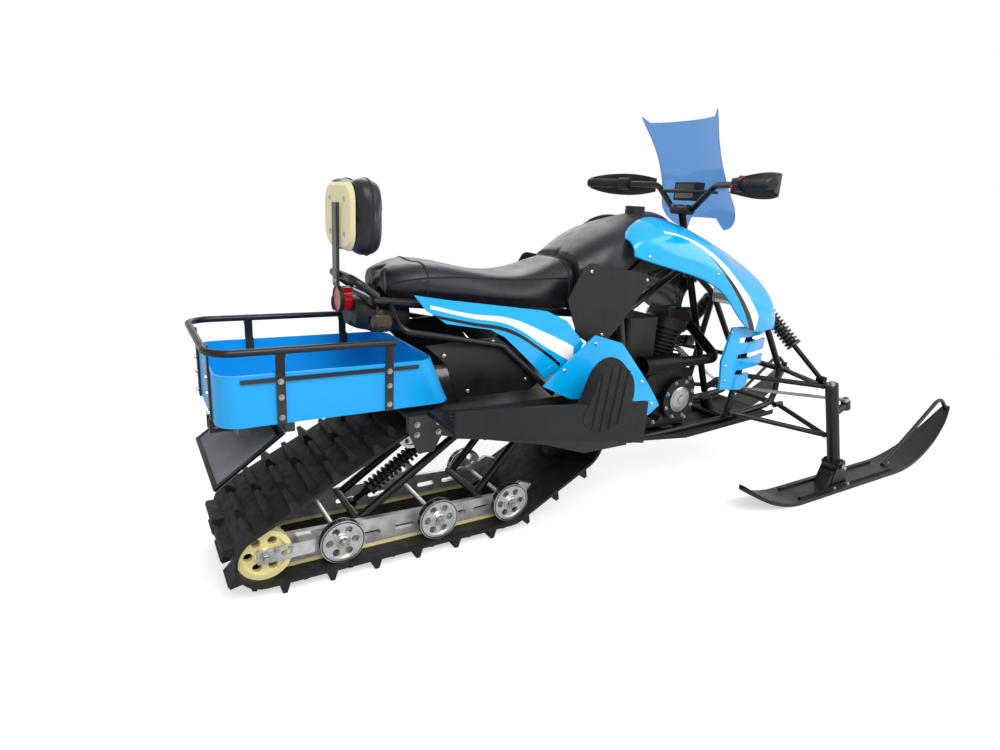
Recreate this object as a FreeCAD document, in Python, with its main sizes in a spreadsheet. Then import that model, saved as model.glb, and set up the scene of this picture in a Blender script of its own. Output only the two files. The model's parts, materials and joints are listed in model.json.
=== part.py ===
import FreeCAD
import Part

import math
import os

# Light utility snowmobile, millimetres. Forward is +X, left is +Y, up is +Z.
# Stations are measured forward from the rear end of the cargo rail, and each sub-part's
# Placement carries the whole machine back by half its length.

DIMENSIONS = {
    # Whole machine
    "fit_gap": 0.3,
    "panel_gap": 0.9,
    "cut_margin": 20,
    "body_height": 712,
    # Track belt and its wheels
    "track_width": 380,
    "belt_thickness": 10,
    "lug_height": 28,
    "lug_pitch": 64,
    "lug_root": 30,
    "lug_tip": 12,
    "lug_sink": 2,
    "idler_station": 122,
    "idler_radius": 72,
    "idler_width": 30,
    "idler_spacing": 145,
    "bogie_radius": 64,
    "bogie_width": 24,
    "bogie_spacing": 160,
    "bogie_rear_station": 330,
    "bogie_middle_station": 630,
    "bogie_front_station": 890,
    "carrier_station": 560,
    "carrier_height": 372,
    "carrier_radius": 45,
    "carrier_spacing": 100,
    "drive_station": 1150,
    "drive_height": 272,
    "sprocket_radius": 92,
    "sprocket_width": 36,
    "sprocket_spacing": 78,
    "drive_shaft_radius": 15,
    "wheel_axle_radius": 8,
    # Slide rails and the arms over them
    "rail_spacing": 118,
    "rail_thickness": 16,
    "rail_height": 64,
    "slide_height": 12,
    "rail_rear_station": 96,
    "rail_nose_rise": 90,
    "rail_slot_length": 64,
    "rail_slot_height": 15,
    "adjuster_plate": 5,
    "adjuster_length": 150,
    "adjuster_height": 40,
    "arm_radius": 13,
    "arm_spacing": 92,
    "arm_rear_foot_station": 400,
    "arm_rear_head_station": 760,
    "arm_rear_head_height": 368,
    "arm_front_foot_station": 800,
    "arm_front_head_station": 985,
    "arm_front_head_height": 330,
    "arm_foot_height": 120,
    "skid_shock_radius": 26,
    # Tunnel, rear rack and footboards
    "tunnel_rear_station": 500,
    "tunnel_front_station": 1340,
    "tunnel_top_height": 466,
    "tunnel_half_width": 209,
    "tunnel_side_rear_height": 420,
    "tunnel_side_front_height": 248,
    "sheet_thickness": 4,
    "hanger_station": 504,
    "hanger_length": 112,
    "hanger_low_height": 352,
    "hanger_foot_length": 50,
    "rack_bar_width": 24,
    "rack_bar_height": 24,
    "rack_bar_spacing": 120,
    "rack_rear_station": 70,
    "rack_front_station": 700,
    "footboard_rear_station": 560,
    "footboard_front_station": 1240,
    "footboard_rear_height": 478,
    "footboard_front_height": 408,
    "footboard_edge_rear_top": 530,
    "footboard_edge_front_top": 474,
    "footboard_edge_rear_low": 456,
    "footboard_edge_front_low": 336,
    "footboard_thickness": 14,
    "footboard_width": 170,
    # Cargo tray and its rails
    "tray_rear_station": 24,
    "tray_length": 566,
    "tray_front_flare": 56,
    "tray_half_width": 200,
    "tray_height": 130,
    "tray_wall": 5,
    "tray_corner_radius": 55,
    "tray_floor_height": 490,
    "rail_tube_radius": 9,
    "rail_top_height": 680,
    "rail_bend_radius": 60,
    "upright_width": 22,
    "upright_thickness": 5,
    "upright_hook": 30,
    "upright_rear_station": 160,
    "upright_middle_station": 440,
    "band_height": 10,
    # Snow flap and tow hitch
    "flap_width": 370,
    "flap_thickness": 4,
    "flap_top_station": 178,
    "flap_top_height": 460,
    "flap_low_station": 8,
    "flap_low_height": 334,
    "hitch_rear_station": 24,
    "hitch_ear_spacing": 18,
    "hitch_thickness": 8,
    "hitch_height": 440,
    "hitch_bore_radius": 8,
    # Frame
    "frame_tube_radius": 13,
    "frame_bend_radius": 70,
    "frame_half_width": 150,
    "frame_low_height": 232,
    "frame_front_station": 2290,
    "frame_front_rise": 30,
    "frame_front_height": 158,
    "frame_front_half_width": 118,
    "shock_tower_station": 2080,
    "shock_tower_height": 715,
    "head_tube_radius": 26,
    "head_tube_length": 140,
    "head_tube_rise": 169,
    "seat_rail_front_drop": 20,
    "seat_rail_rear_rise": 60,
    "seat_rail_half_width": 105,
    "seat_rail_rear_station": 440,
    "stub_radius": 9,
    "side_tube_rear_station": 486,
    "side_tube_rear_drop": 6,
    "side_tube_middle_station": 800,
    "side_tube_middle_drop": 67,
    "side_tube_front_station": 1000,
    "panel_stub_station": 700,
    "rib_stub_rise": 330,
    "belly_rear_station": 1392,
    "belly_front_station": 2240,
    "belly_low_height": 200,
    "belly_rear_height": 232,
    "belly_wall": 4,
    "belly_half_width": 160,
    "belly_side_height": 20,
    # Engine, drive and exhaust
    "crankcase_station": 1440,
    "crankcase_length": 330,
    "crankcase_half_width": 112,
    "crankcase_height": 226,
    "engine_mount_rear_station": 1520,
    "engine_mount_front_station": 1720,
    "cover_radius": 82,
    "cover_depth": 26,
    "cover_step": 8,
    "cover_station": 1660,
    "cylinder_station": 1640,
    "cylinder_lean": 14,
    "cylinder_radius": 58,
    "cylinder_height": 210,
    "fin_radius": 82,
    "fin_thickness": 5,
    "fin_pitch": 15,
    "rocker_height": 36,
    "intake_radius": 22,
    "air_box_station": 1374,
    "air_box_length": 150,
    "air_box_half_width": 118,
    "air_box_height": 190,
    "air_box_drop": 30,
    "chain_case_thickness": 30,
    "chain_case_radius": 64,
    "chain_case_front_radius": 44,
    "output_station": 1490,
    "output_height": 330,
    "output_radius": 18,
    "exhaust_radius": 19,
    "muffler_radius": 36,
    "muffler_length": 170,
    "muffler_half_width": 172,
    "muffler_height": 520,
    "header_front_station": 1796,
    "pedal_station": 1496,
    "pedal_height": 322,
    "pedal_radius": 11,
    "pedal_length": 70,
    # Seat, tank cover and bodywork
    "seat_rear_station": 478,
    "seat_half_width": 165,
    "seat_depth": 190,
    "tank_station": 1114,
    "tank_length": 480,
    "tank_half_width": 185,
    "tank_depth": 338,
    "skirt_station": 1042,
    "skirt_length": 376,
    "skirt_drop": 101,
    "skirt_height": 273,
    "skirt_corner_radius": 26,
    "cap_radius": 34,
    "cap_height": 26,
    "cap_station": 1452,
    "shell_thickness": 5,
    "shroud_station": 1290,
    "shroud_length": 732,
    "shroud_rise": 310,
    "shroud_drop": 386,
    "shroud_half_width": 262,
    "nose_station": 1800,
    "nose_length": 230,
    "lamp_station": 1990,
    "lamp_length": 62,
    "lamp_half_width": 96,
    "lamp_height": 92,
    "lamp_drop": 12,
    "rib_station": 1764,
    "rib_length": 300,
    "rib_rise": 160,
    "rib_height": 256,
    "rib_half_width": 226,
    "side_panel_station": 540,
    "side_panel_length": 566,
    "side_panel_drop": 184,
    "side_panel_height": 264,
    "side_panel_half_width": 212,
    "side_cover_station": 556,
    "side_cover_length": 390,
    "side_cover_rise": 26,
    "side_cover_height": 176,
    "side_cover_half_width": 192,
    "knee_panel_station": 930,
    "knee_panel_length": 452,
    "knee_panel_drop": 36,
    "knee_panel_height": 290,
    "knee_panel_half_width": 292,
    "foot_guard_station": 967,
    "foot_guard_length": 218,
    "foot_guard_rise": -18,
    "foot_guard_height": 229,
    "foot_guard_thickness": 40,
    "foot_guard_half_width": 385,
    "foot_guard_rib": 5,
    # Tail cover, grab rail, backrest and lamps
    "tail_cover_station": 408,
    "tail_cover_length": 150,
    "tail_cover_half_width": 88,
    "tail_cover_height": 92,
    "grab_tube_radius": 11,
    "grab_rear_station": 388,
    "grab_rise": 118,
    "post_width": 36,
    "post_thickness": 9,
    "post_rise": 400,
    "post_foot_drop": 30,
    "backrest_shell_thickness": 9,
    "pad_thickness": 74,
    "pad_half_width": 150,
    "pad_rise": 176,
    "pad_height": 206,
    "pad_corner_radius": 60,
    "tail_lamp_radius": 36,
    "tail_lamp_station": 374,
    "signal_radius": 22,
    "signal_depth": 36,
    "signal_half_width": 165,
    "signal_drop": 47,
    # Front suspension
    "kingpin_station": 2230,
    "kingpin_half_width": 432,
    "kingpin_height": 270,
    "steering_rake": 21,
    "spindle_radius": 24,
    "spindle_top_height": 448,
    "upper_ball_height": 430,
    "lower_ball_height": 214,
    "ball_clearance": 0.6,
    "arm_rear_station": 1976,
    "front_shock_radius": 30,
    "coil_wire_radius": 5,
    "coil_pitch": 19,
    # Skis
    "ski_half_width": 66,
    "ski_rear_reach": 585,
    "ski_front_reach": 905,
    "ski_flat_length": 660,
    "ski_thickness": 14,
    "ski_tail_rise": 100,
    "ski_tip_rise": 225,
    "ski_pivot_height": 92,
    "ski_bolt_radius": 7,
    "ski_rib_width": 9,
    "ski_rib_height": 8,
    "ski_rib_spacing": 44,
    "saddle_half_width": 34,
    "saddle_plate": 6,
    "saddle_length": 120,
    "ski_loop_radius": 9,
    "ski_loop_length": 500,
    "ski_loop_height": 62,
    # Steering
    "stem_station": 1690,
    "stem_rise": 338,
    "stem_radius": 14,
    "stem_low_height": 330,
    "steering_arm_length": 86,
    "tie_rod_radius": 7,
    "tie_stud_radius": 6,
    "tie_eye_radius": 14,
    "tie_eye_height": 14,
    "tie_eye_spacing": 4,
    "pitman_thickness": 12,
    "bar_radius": 11,
    "bar_half_width": 425,
    "bar_rise": 100,
    "bar_sweep": 92,
    "bar_centre_half_width": 46,
    "bar_bend_half_width": 140,
    "brace_radius": 7,
    "grip_radius": 17,
    "grip_length": 128,
    "control_radius": 23,
    "control_length": 46,
    "lever_radius": 5,
    "lever_reach": 52,
    "guard_reach": 66,
    "guard_height": 84,
    "guard_thickness": 5,
    "pod_length": 46,
    "pod_half_width": 52,
    "pod_height": 66,
    "screen_half_width": 178,
    "screen_bulge": 30,
    "screen_thickness": 3,
    "screen_drop": 150,
    "screen_rise": 235,
    "screen_low_station": 1836,
    "screen_lean": 27,
}

doc = FreeCAD.newDocument("Snowmobile")
sheet = doc.addObject("Spreadsheet::Sheet", "Dims")
for row, (alias, number) in enumerate(DIMENSIONS.items(), start=1):
    sheet.set(f"A{row}", alias)
    sheet.set(f"B{row}", str(number))
    sheet.setAlias(f"B{row}", alias)
doc.recompute()
sheet.set("D1", "=kingpin_station + (kingpin_height - ski_pivot_height) * tan(steering_rake) + ski_front_reach")
sheet.setAlias("D1", "overall_length")
doc.recompute()

SIDES = (1, -1)
SUB_PARTS = []


def size(alias):
    """One driving dimension, read back from the sheet."""
    return float(getattr(sheet, alias))


def point(station, across, height):
    return FreeCAD.Vector(station, across, height)


def add_shape(label, shape):
    """A sub-part whose curved shape comes from Part's own functions."""
    feature = doc.addObject("Part::Feature", label)
    feature.Shape = shape
    return finish(feature, label)


def finish(sub_part, label):
    """Name a sub-part and set the machine's middle over the origin."""
    sub_part.Label = label
    sub_part.setExpression("Placement.Base.x", "-Dims.overall_length / 2")
    SUB_PARTS.append(sub_part)
    return sub_part

def block(name, lengths, corner):
    """A box whose lengths and low corner are tied to the sheet by expressions."""
    box = doc.addObject("Part::Box", name)
    for measure, expression in zip(("Length", "Width", "Height"), lengths):
        box.setExpression(measure, expression)
    for direction, expression in zip("xyz", corner):
        box.setExpression(f"Placement.Base.{direction}", expression)
    return box


def drum(name, radius, length, start, turn=None):
    """A cylinder tied to the sheet, standing along Z unless it is turned."""
    cylinder = doc.addObject("Part::Cylinder", name)
    cylinder.setExpression("Radius", radius)
    cylinder.setExpression("Height", length)
    if turn is not None:
        cylinder.Placement.Rotation = turn
    for direction, expression in zip("xyz", start):
        cylinder.setExpression(f"Placement.Base.{direction}", expression)
    return cylinder


def fused(label, pieces):
    feature = doc.addObject("Part::MultiFuse", label)
    feature.Shapes = pieces
    feature.Refine = True
    return feature


def less(label, base, tool):
    feature = doc.addObject("Part::Cut", label)
    feature.Base = base
    feature.Tool = tool
    return feature


def join(shapes):
    """Fuse shapes that touch or overlap into as few solids as they make."""
    first, *others = shapes
    fused = first.multiFuse(others) if others else first
    refined = fused.removeSplitter()
    return refined if refined.isValid() else fused


def mirrored(shape):
    return shape.mirror(point(0, 0, 0), point(0, 1, 0))


def both_sides(shape):
    """A left shape and its mirror image, kept as separate solids."""
    return Part.makeCompound(shape.Solids + mirrored(shape).Solids)

def largest(shape):
    return max(shape.Solids, key=lambda solid: solid.Volume)


def rod(start, end, radius):
    return Part.makeCylinder(radius, (end - start).Length, start, end - start)


def cross_rod(station, height, half_width, radius):
    return rod(point(station, -half_width, height), point(station, half_width, height), radius)


def wheel(station, height, middle, width, radius):
    """A disc on a cross axle, its middle plane at the given place across."""
    low = point(station, middle - width / 2, height)
    return Part.makeCylinder(radius, width, low, point(0, 1, 0))


def rounded_path(points, bend):
    """Straight stretches with an arc of the bend radius at each inner point."""
    edges = []
    start = points[0]
    for before, corner, after in zip(points, points[1:], points[2:]):
        back = (before - corner).normalize()
        ahead = (after - corner).normalize()
        half_angle = back.getAngle(ahead) / 2
        reach = bend / math.tan(half_angle)
        longest = min((before - corner).Length, (after - corner).Length) / 2
        reach = min(reach, longest)
        radius = reach * math.tan(half_angle)
        bisector = (back + ahead).normalize()
        middle = corner + bisector * (radius / math.sin(half_angle) - radius)
        arc_start = corner + back * reach
        arc_end = corner + ahead * reach
        if (arc_start - start).Length > radius / 1000:
            edges.append(Part.makeLine(start, arc_start))
        edges.append(Part.Arc(arc_start, middle, arc_end).toShape())
        start = arc_end
    edges.append(Part.makeLine(start, points[-1]))
    return Part.Wire(edges)


def tube(points, radius, bend):
    """A round bar or tube bent along the points."""
    if len(points) == 2:
        return rod(points[0], points[1], radius)
    path = rounded_path(points, bend)
    first = path.OrderedEdges[0]
    tangent = first.tangentAt(first.FirstParameter)
    ring = Part.Wire(Part.makeCircle(radius, points[0], tangent))
    return path.makePipeShell([ring], True, False)


def side_face(outline, across):
    """A flat face in a lengthwise plane from station and height pairs."""
    corners = [point(station, across, height) for station, height in outline]
    return Part.Face(Part.makePolygon(corners + corners[:1]))


def plate(outline, inner, thickness):
    """An outline in a lengthwise plane, thickened outward from the inner face."""
    return side_face(outline, inner).extrude(point(0, thickness, 0))


def smooth_face(outline, across):
    """The same as a side face, with one smooth closed curve through the points."""
    curve = Part.BSplineCurve()
    curve.interpolate([point(station, across, height) for station, height in outline], PeriodicFlag=True)
    return Part.Face(Part.Wire(curve.toShape()))


def scaled(shares, station, length, low, height):
    """Turn an outline's shares of its length and height into real places."""
    return [(station + length * along, low + height * up) for along, up in shares]


def loft(sections):
    return Part.makeLoft(sections, True, False)


def hull_section(station, half_width, low, high, roundness=0.35):
    """A closed rounded section across the machine, flat below and domed above."""
    shares = [(0, 0), (0.8, 0), (1, roundness), (0.82, 0.86), (0, 1)]
    right = [(half_width * across, low + (high - low) * up) for across, up in shares]
    left = [(-across, height) for across, height in reversed(right[1:-1])]
    curve = Part.BSplineCurve()
    places = [point(station, across, height) for across, height in right + left]
    curve.interpolate(places, PeriodicFlag=True)
    return Part.Wire(curve.toShape())

def rounded_rectangle(station, half_width, low, high, radius):
    """A closed section across the machine with an arc at each corner."""
    middle = (low + high) / 2
    half_height = (high - low) / 2
    arcs = []
    for quarter in range(4):
        across_sign = 1 if quarter in (0, 3) else -1
        up_sign = 1 if quarter in (0, 1) else -1
        centre = point(station, across_sign * (half_width - radius), middle + up_sign * (half_height - radius))
        start, halfway, end = [centre + point(0, math.cos(angle), math.sin(angle)) * radius
                               for angle in (quarter * math.pi / 2, (quarter + 0.5) * math.pi / 2,
                                             (quarter + 1) * math.pi / 2)]
        arcs.append((start, halfway, end))
    edges = []
    for (start, halfway, end), (following, _, _) in zip(arcs, arcs[1:] + arcs[:1]):
        edges.append(Part.Arc(start, halfway, end).toShape())
        edges.append(Part.makeLine(end, following))
    return Part.Wire(edges)


def strip_section(station, outer, thickness):
    """A thin closed section: a smooth line of places across, and its inner face."""
    outer_line = Part.BSplineCurve()
    outer_line.interpolate([point(station, across, height) for across, height in outer])
    inner_line = Part.BSplineCurve()
    inner_line.interpolate([point(station, across - thickness, height - thickness / 2)
                            for across, height in outer])
    outer_edge = outer_line.toShape()
    inner_edge = inner_line.toShape()
    low_edge = Part.makeLine(outer_edge.Vertexes[-1].Point, inner_edge.Vertexes[-1].Point)
    high_edge = Part.makeLine(inner_edge.Vertexes[0].Point, outer_edge.Vertexes[0].Point)
    return Part.Wire([outer_edge, low_edge, inner_edge, high_edge])

def upright_section(station, outer, thickness):
    """A thin closed section of an upright panel: its outer line, and the inner line beside it."""
    outer_line = Part.BSplineCurve()
    outer_line.interpolate([point(station, across, height) for across, height in outer])
    inner_line = Part.BSplineCurve()
    inner_line.interpolate([point(station, across - thickness, height) for across, height in outer])
    outer_edge = outer_line.toShape()
    inner_edge = inner_line.toShape()
    low_edge = Part.makeLine(outer_edge.Vertexes[-1].Point, inner_edge.Vertexes[-1].Point)
    high_edge = Part.makeLine(inner_edge.Vertexes[0].Point, outer_edge.Vertexes[0].Point)
    return Part.Wire([outer_edge, low_edge, inner_edge, high_edge])


# Track belt
belt_inside_height = size("belt_thickness") + size("lug_height")
bogie_height = belt_inside_height + size("bogie_radius")
idler_height = belt_inside_height + size("idler_radius")
BELT_WHEELS = (
    (size("idler_station"), idler_height, size("idler_radius")),
    (size("bogie_front_station"), bogie_height, size("bogie_radius")),
    (size("drive_station"), size("drive_height"), size("sprocket_radius")),
    (size("carrier_station"), size("carrier_height"), size("carrier_radius")),
)
LUG_ROWS = (((-1, -0.56), (-0.3, 0.3), (0.56, 1)), ((-0.8, -0.12), (0.12, 0.8)))
WHEEL_RIM_SHARE = 0.8
WHEEL_HUB_SHARE = 0.36
WHEEL_WINDOW_SHARE = 0.17
WHEEL_WINDOWS = 6
SPROCKET_COGS = 9
COG_ROOT_SHARE = 0.82
SLOT_SHARES = (0.32, 0.68)


def wrapped_face(wheels, grow):
    """The area inside a band that runs round the wheels at a distance from them."""
    count = len(wheels)
    leaving = []
    arriving = [None] * count
    for index, (station, height, radius) in enumerate(wheels):
        following = (index + 1) % count
        next_station, next_height, next_radius = wheels[following]
        along = FreeCAD.Vector(next_station - station, 0, next_height - height)
        distance = along.Length
        along.normalize()
        outward = FreeCAD.Vector(along.z, 0, -along.x)
        lean = (radius - next_radius) / distance
        normal = along * lean + outward * math.sqrt(1 - lean * lean)
        leaving.append(normal)
        arriving[following] = normal
    edges = []
    for index, (station, height, radius) in enumerate(wheels):
        centre = point(station, 0, height)
        turn = arriving[index] + leaving[index]
        ahead = FreeCAD.Vector(-leaving[index].z, 0, leaving[index].x)
        middle = turn.normalize() if turn.Length > abs(turn.dot(ahead)) / 2 else ahead
        reach = radius + grow
        edges.append(Part.Arc(centre + arriving[index] * reach, centre + middle * reach,
                              centre + leaving[index] * reach).toShape())
        next_station, next_height, next_radius = wheels[(index + 1) % count]
        next_centre = point(next_station, 0, next_height)
        edges.append(Part.makeLine(centre + leaving[index] * reach,
                                   next_centre + leaving[index] * (next_radius + grow)))
    return Part.Face(Part.Wire(edges))


def belt_band(inner_grow, outer_grow, half_width):
    ring = wrapped_face(BELT_WHEELS, outer_grow).cut(wrapped_face(BELT_WHEELS, inner_grow))
    ring.translate(point(0, -half_width, 0))
    return ring.extrude(point(0, 2 * half_width, 0))


def lug(place, travel, outward, start, end):
    """One paddle of the tread, wide at its root and narrow at its tip."""
    root = travel * (size("lug_root") / 2)
    tip = travel * (size("lug_tip") / 2)
    foot = place - outward * size("lug_sink")
    top = place + outward * (size("lug_height") - size("fit_gap"))
    corners = [foot - root, foot + root, top + tip, top - tip]
    side = point(0, start, 0)
    face = Part.Face(Part.makePolygon([corner + side for corner in corners + corners[:1]]))
    return face.extrude(point(0, end - start, 0))


def build_track_belt():
    """The belt, with rows of paddles in turn at its edges and middle and between them."""
    half_width = size("track_width") / 2
    band = belt_band(size("fit_gap"), size("belt_thickness"), half_width)
    wire = wrapped_face(BELT_WHEELS, size("belt_thickness")).OuterWire
    rows = len(LUG_ROWS) * round(wire.Length / size("lug_pitch") / len(LUG_ROWS))
    quarter = 4
    places = wire.discretize(Number=rows * quarter + 1)
    middle = point(size("carrier_station"), 0, (size("carrier_height") + belt_inside_height) / 2)
    lugs = []
    for row in range(rows):
        place = places[row * quarter]
        travel = (places[row * quarter + 1] - places[row * quarter - 1 if row else -2]).normalize()
        outward = travel.cross(point(0, 1, 0))
        if outward.dot(place - middle) < 0:
            outward = -outward
        for start, end in LUG_ROWS[row % len(LUG_ROWS)]:
            lugs.append(lug(place, travel, outward, half_width * start, half_width * end))
    add_shape("track_belt", join([band] + lugs))


def bogie_stations():
    return [size("bogie_rear_station"), size("bogie_middle_station"), size("bogie_front_station")]


def spoked_wheel(station, height, middle, width, radius):
    """A moulded wheel: rim and hub, a thinner web between, and round windows in the web."""
    rim = radius * WHEEL_RIM_SHARE
    hub = radius * WHEEL_HUB_SHARE
    cuts = []
    for side in SIDES:
        face = middle + side * width / 2
        cuts.append(wheel(station, height, face, width / 2, rim).cut(wheel(station, height, face, width, hub)))
    reach = (rim + hub) / 2
    for index in range(WHEEL_WINDOWS):
        angle = 2 * math.pi * index / WHEEL_WINDOWS
        cuts.append(wheel(station + reach * math.cos(angle), height + reach * math.sin(angle), middle,
                          2 * width, radius * WHEEL_WINDOW_SHARE))
    return wheel(station, height, middle, width, radius).cut(Part.makeCompound(cuts))


def sprocket(middle):
    """A drive wheel with square cogs round its rim."""
    radius = size("sprocket_radius")
    corners = []
    steps = SPROCKET_COGS * 4
    for index in range(steps + 1):
        angle = 2 * math.pi * (index % steps) / steps
        reach = radius if (index % steps) // 2 % 2 else radius * COG_ROOT_SHARE
        corners.append(point(size("drive_station") + reach * math.cos(angle), middle - size("sprocket_width") / 2,
                             size("drive_height") + reach * math.sin(angle)))
    return Part.Face(Part.makePolygon(corners)).extrude(point(0, size("sprocket_width"), 0))


def build_track_wheels():
    axle = size("wheel_axle_radius")
    bogies = []
    spacing = size("bogie_spacing")
    for station in bogie_stations():
        wheels = [spoked_wheel(station, bogie_height, side * spacing, size("bogie_width"), size("bogie_radius"))
                  for side in SIDES]
        shaft = cross_rod(station, bogie_height, spacing + size("bogie_width") / 2 + axle, axle)
        bogies.append(join(wheels + [shaft]))
    spacing = size("idler_spacing")
    idlers = [spoked_wheel(size("idler_station"), idler_height, side * spacing, size("idler_width"),
                           size("idler_radius")) for side in (1, 0, -1)]
    shaft = cross_rod(size("idler_station"), idler_height, spacing + size("idler_width"), axle)
    add_shape("idler_wheels", join(idlers + [shaft]))

    carriers = [spoked_wheel(size("carrier_station"), size("carrier_height"), side * size("carrier_spacing"),
                             size("bogie_width"), size("carrier_radius")) for side in SIDES]
    shaft_reach = size("tunnel_half_width") - size("sheet_thickness") - size("fit_gap")
    shaft = cross_rod(size("carrier_station"), size("carrier_height"), shaft_reach, axle)
    add_shape("bogie_wheels", Part.makeCompound(bogies + [join(carriers + [shaft])]))

    sprockets = [sprocket(side * size("sprocket_spacing")) for side in SIDES]
    shaft = cross_rod(size("drive_station"), size("drive_height"), shaft_reach, size("drive_shaft_radius"))
    add_shape("drive_axle", join(sprockets + [shaft]))


def lengthwise_slot(station, height, length, tall):
    """A round-ended slot through everything across, centred at a place."""
    straight = length - tall
    reach = size("track_width")
    bar = Part.makeBox(straight, 2 * reach, tall, point(station - straight / 2, -reach, height - tall / 2))
    ends = [cross_rod(station + end * straight / 2, height, reach, tall / 2) for end in SIDES]
    return join([bar] + ends)


def build_slide_rails():
    """The two rails that the wheels sit on, with slots between the wheels and strips below."""
    low = belt_inside_height + size("fit_gap")
    top = low + size("slide_height") + size("rail_height")
    rear = size("rail_rear_station")
    front = size("bogie_front_station")
    rise = size("rail_nose_rise")
    nose = front + size("bogie_radius")
    outline = [
        (rear + size("idler_radius"), low),
        (front, low),
        (nose, low + rise / 3),
        (nose + rise / 2, low + rise),
        (nose, top + rise / 3),
        (front, top),
        (rear, idler_height + size("rail_height") / 2),
        (rear, idler_height - size("rail_height") / 2),
    ]
    thickness = size("rail_thickness")
    inner = size("rail_spacing") - thickness / 2
    left = plate(outline, inner, thickness)
    clearance = size("wheel_axle_radius") + size("fit_gap")
    cuts = [cross_rod(station, bogie_height, size("track_width"), clearance) for station in bogie_stations()]
    cuts.append(cross_rod(size("idler_station"), idler_height, size("track_width"), clearance))
    axles = [size("idler_station")] + bogie_stations()
    slot_height = low + size("slide_height") + size("rail_height") / 2
    for station, following in zip(axles[1:], axles[2:]):
        for share in SLOT_SHARES:
            cuts.append(lengthwise_slot(station + (following - station) * share, slot_height,
                                        size("rail_slot_length"), size("rail_slot_height")))
    strip_start = rear + size("idler_radius")
    strip = Part.makeBox(front - strip_start, thickness, size("slide_height"), point(strip_start, inner, low))
    left = left.cut(Part.makeCompound(cuts)).cut(strip).common(belt_inside())
    add_shape("slide_rails", Part.makeCompound([both_sides(left), both_sides(axle_plate())]))
    add_shape("slide_strips", both_sides(strip))


def axle_plate():
    """Outside the left rear wheel a slotted plate holds its axle, on a block from the rail."""
    thick = size("adjuster_plate")
    tall = size("adjuster_height")
    inner = size("idler_spacing") + size("idler_width") / 2 + thick / 2
    rear = size("idler_station") - tall / 2
    front = rear + size("adjuster_length")
    low = idler_height - tall / 2
    left = plate([(rear, low), (front, low), (front, low + tall), (rear, low + tall)], inner, thick)
    rail_outer = size("rail_spacing") + size("rail_thickness") / 2 + size("fit_gap")
    left = join([left, Part.makeBox(tall, inner - rail_outer, tall, point(front - tall, rail_outer, low))])
    slot = lengthwise_slot((rear + front) / 2, idler_height, size("rail_slot_length") / 2,
                           size("rail_slot_height"))
    axle_hole = cross_rod(size("idler_station"), idler_height, size("track_width"),
                          size("wheel_axle_radius") + size("fit_gap"))
    return left.cut(Part.makeCompound([slot, axle_hole]))


def belt_inside():
    """The space within the belt, a running gap clear of it."""
    face = wrapped_face(BELT_WHEELS, 0)
    face.translate(point(0, -size("track_width"), 0))
    return face.extrude(point(0, 2 * size("track_width"), 0))


def build_skid_arms():
    radius = size("arm_radius")
    spacing = size("arm_spacing")
    foot = size("arm_foot_height")
    pieces = []
    for foot_station, head_station, head_height in (
            (size("arm_rear_foot_station"), size("arm_rear_head_station"), size("arm_rear_head_height")),
            (size("arm_front_foot_station"), size("arm_front_head_station"), size("arm_front_head_height"))):
        bars = [rod(point(foot_station, side * spacing, foot), point(head_station, side * spacing, head_height),
                    radius) for side in SIDES]
        foot_reach = size("rail_spacing") - size("rail_thickness") / 2 - size("fit_gap")
        head_reach = size("tunnel_half_width") - size("sheet_thickness") - size("fit_gap")
        crosses = [cross_rod(foot_station, foot, foot_reach, radius),
                   cross_rod(head_station, head_height, head_reach, radius)]
        pieces.append(join(bars + crosses))
    add_shape("skid_arms", Part.makeCompound(pieces))

SKID_SEAT_SHARES = (0.17, 0.83)
FRONT_SEAT_SHARES = (0.09, 0.56)
SHOCK_ROD_SHARE = 0.32


def coil_shock(start, end, radius, seat_shares):
    """A damper with its rod, spring seats and coils on the line between two pivots."""
    axis = end - start
    unit = FreeCAD.Vector(axis).normalize()
    wire = size("coil_wire_radius")
    low, high = [start + axis * share for share in seat_shares]
    pieces = [rod(start, end, radius * SHOCK_ROD_SHARE), rod(low, high, radius - wire - wire / 2)]
    for seat in (low, high):
        pieces.append(rod(seat - unit * wire, seat + unit * wire, radius))
    span = (high - low).Length
    count = int(span / size("coil_pitch"))
    for index in range(1, count):
        pieces.append(Part.makeTorus(radius - wire, wire, low + unit * (span * index / count), unit))
    return join(pieces)


def build_skid_shock():
    low_gap = size("arm_radius") + size("fit_gap")
    start = point(size("arm_rear_foot_station"), 0, size("arm_foot_height"))
    end = point(size("arm_rear_head_station"), 0, size("arm_rear_head_height"))
    along = (end - start).normalize()
    add_shape("skid_shock", coil_shock(start + along * low_gap, end - along * low_gap,
                                       size("skid_shock_radius"), SKID_SEAT_SHARES))


def build_tunnel():
    thickness = size("sheet_thickness")
    half = size("tunnel_half_width")
    rear = size("tunnel_rear_station")
    front = size("tunnel_front_station")
    top = size("tunnel_top_height")
    outline = [
        (rear, top), (rear, size("tunnel_side_rear_height")),
        (size("arm_front_head_station"), size("arm_front_head_height") - 2 * size("arm_radius")),
        (size("drive_station"), size("tunnel_side_front_height")),
        (front, size("tunnel_side_front_height")), (front, top),
    ]
    left = plate(outline, half - thickness, thickness)
    roof = Part.makeBox(front - rear, 2 * half, thickness, point(rear, -half, top - thickness))
    add_shape("tunnel", join([roof, left, mirrored(left)]))


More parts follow.
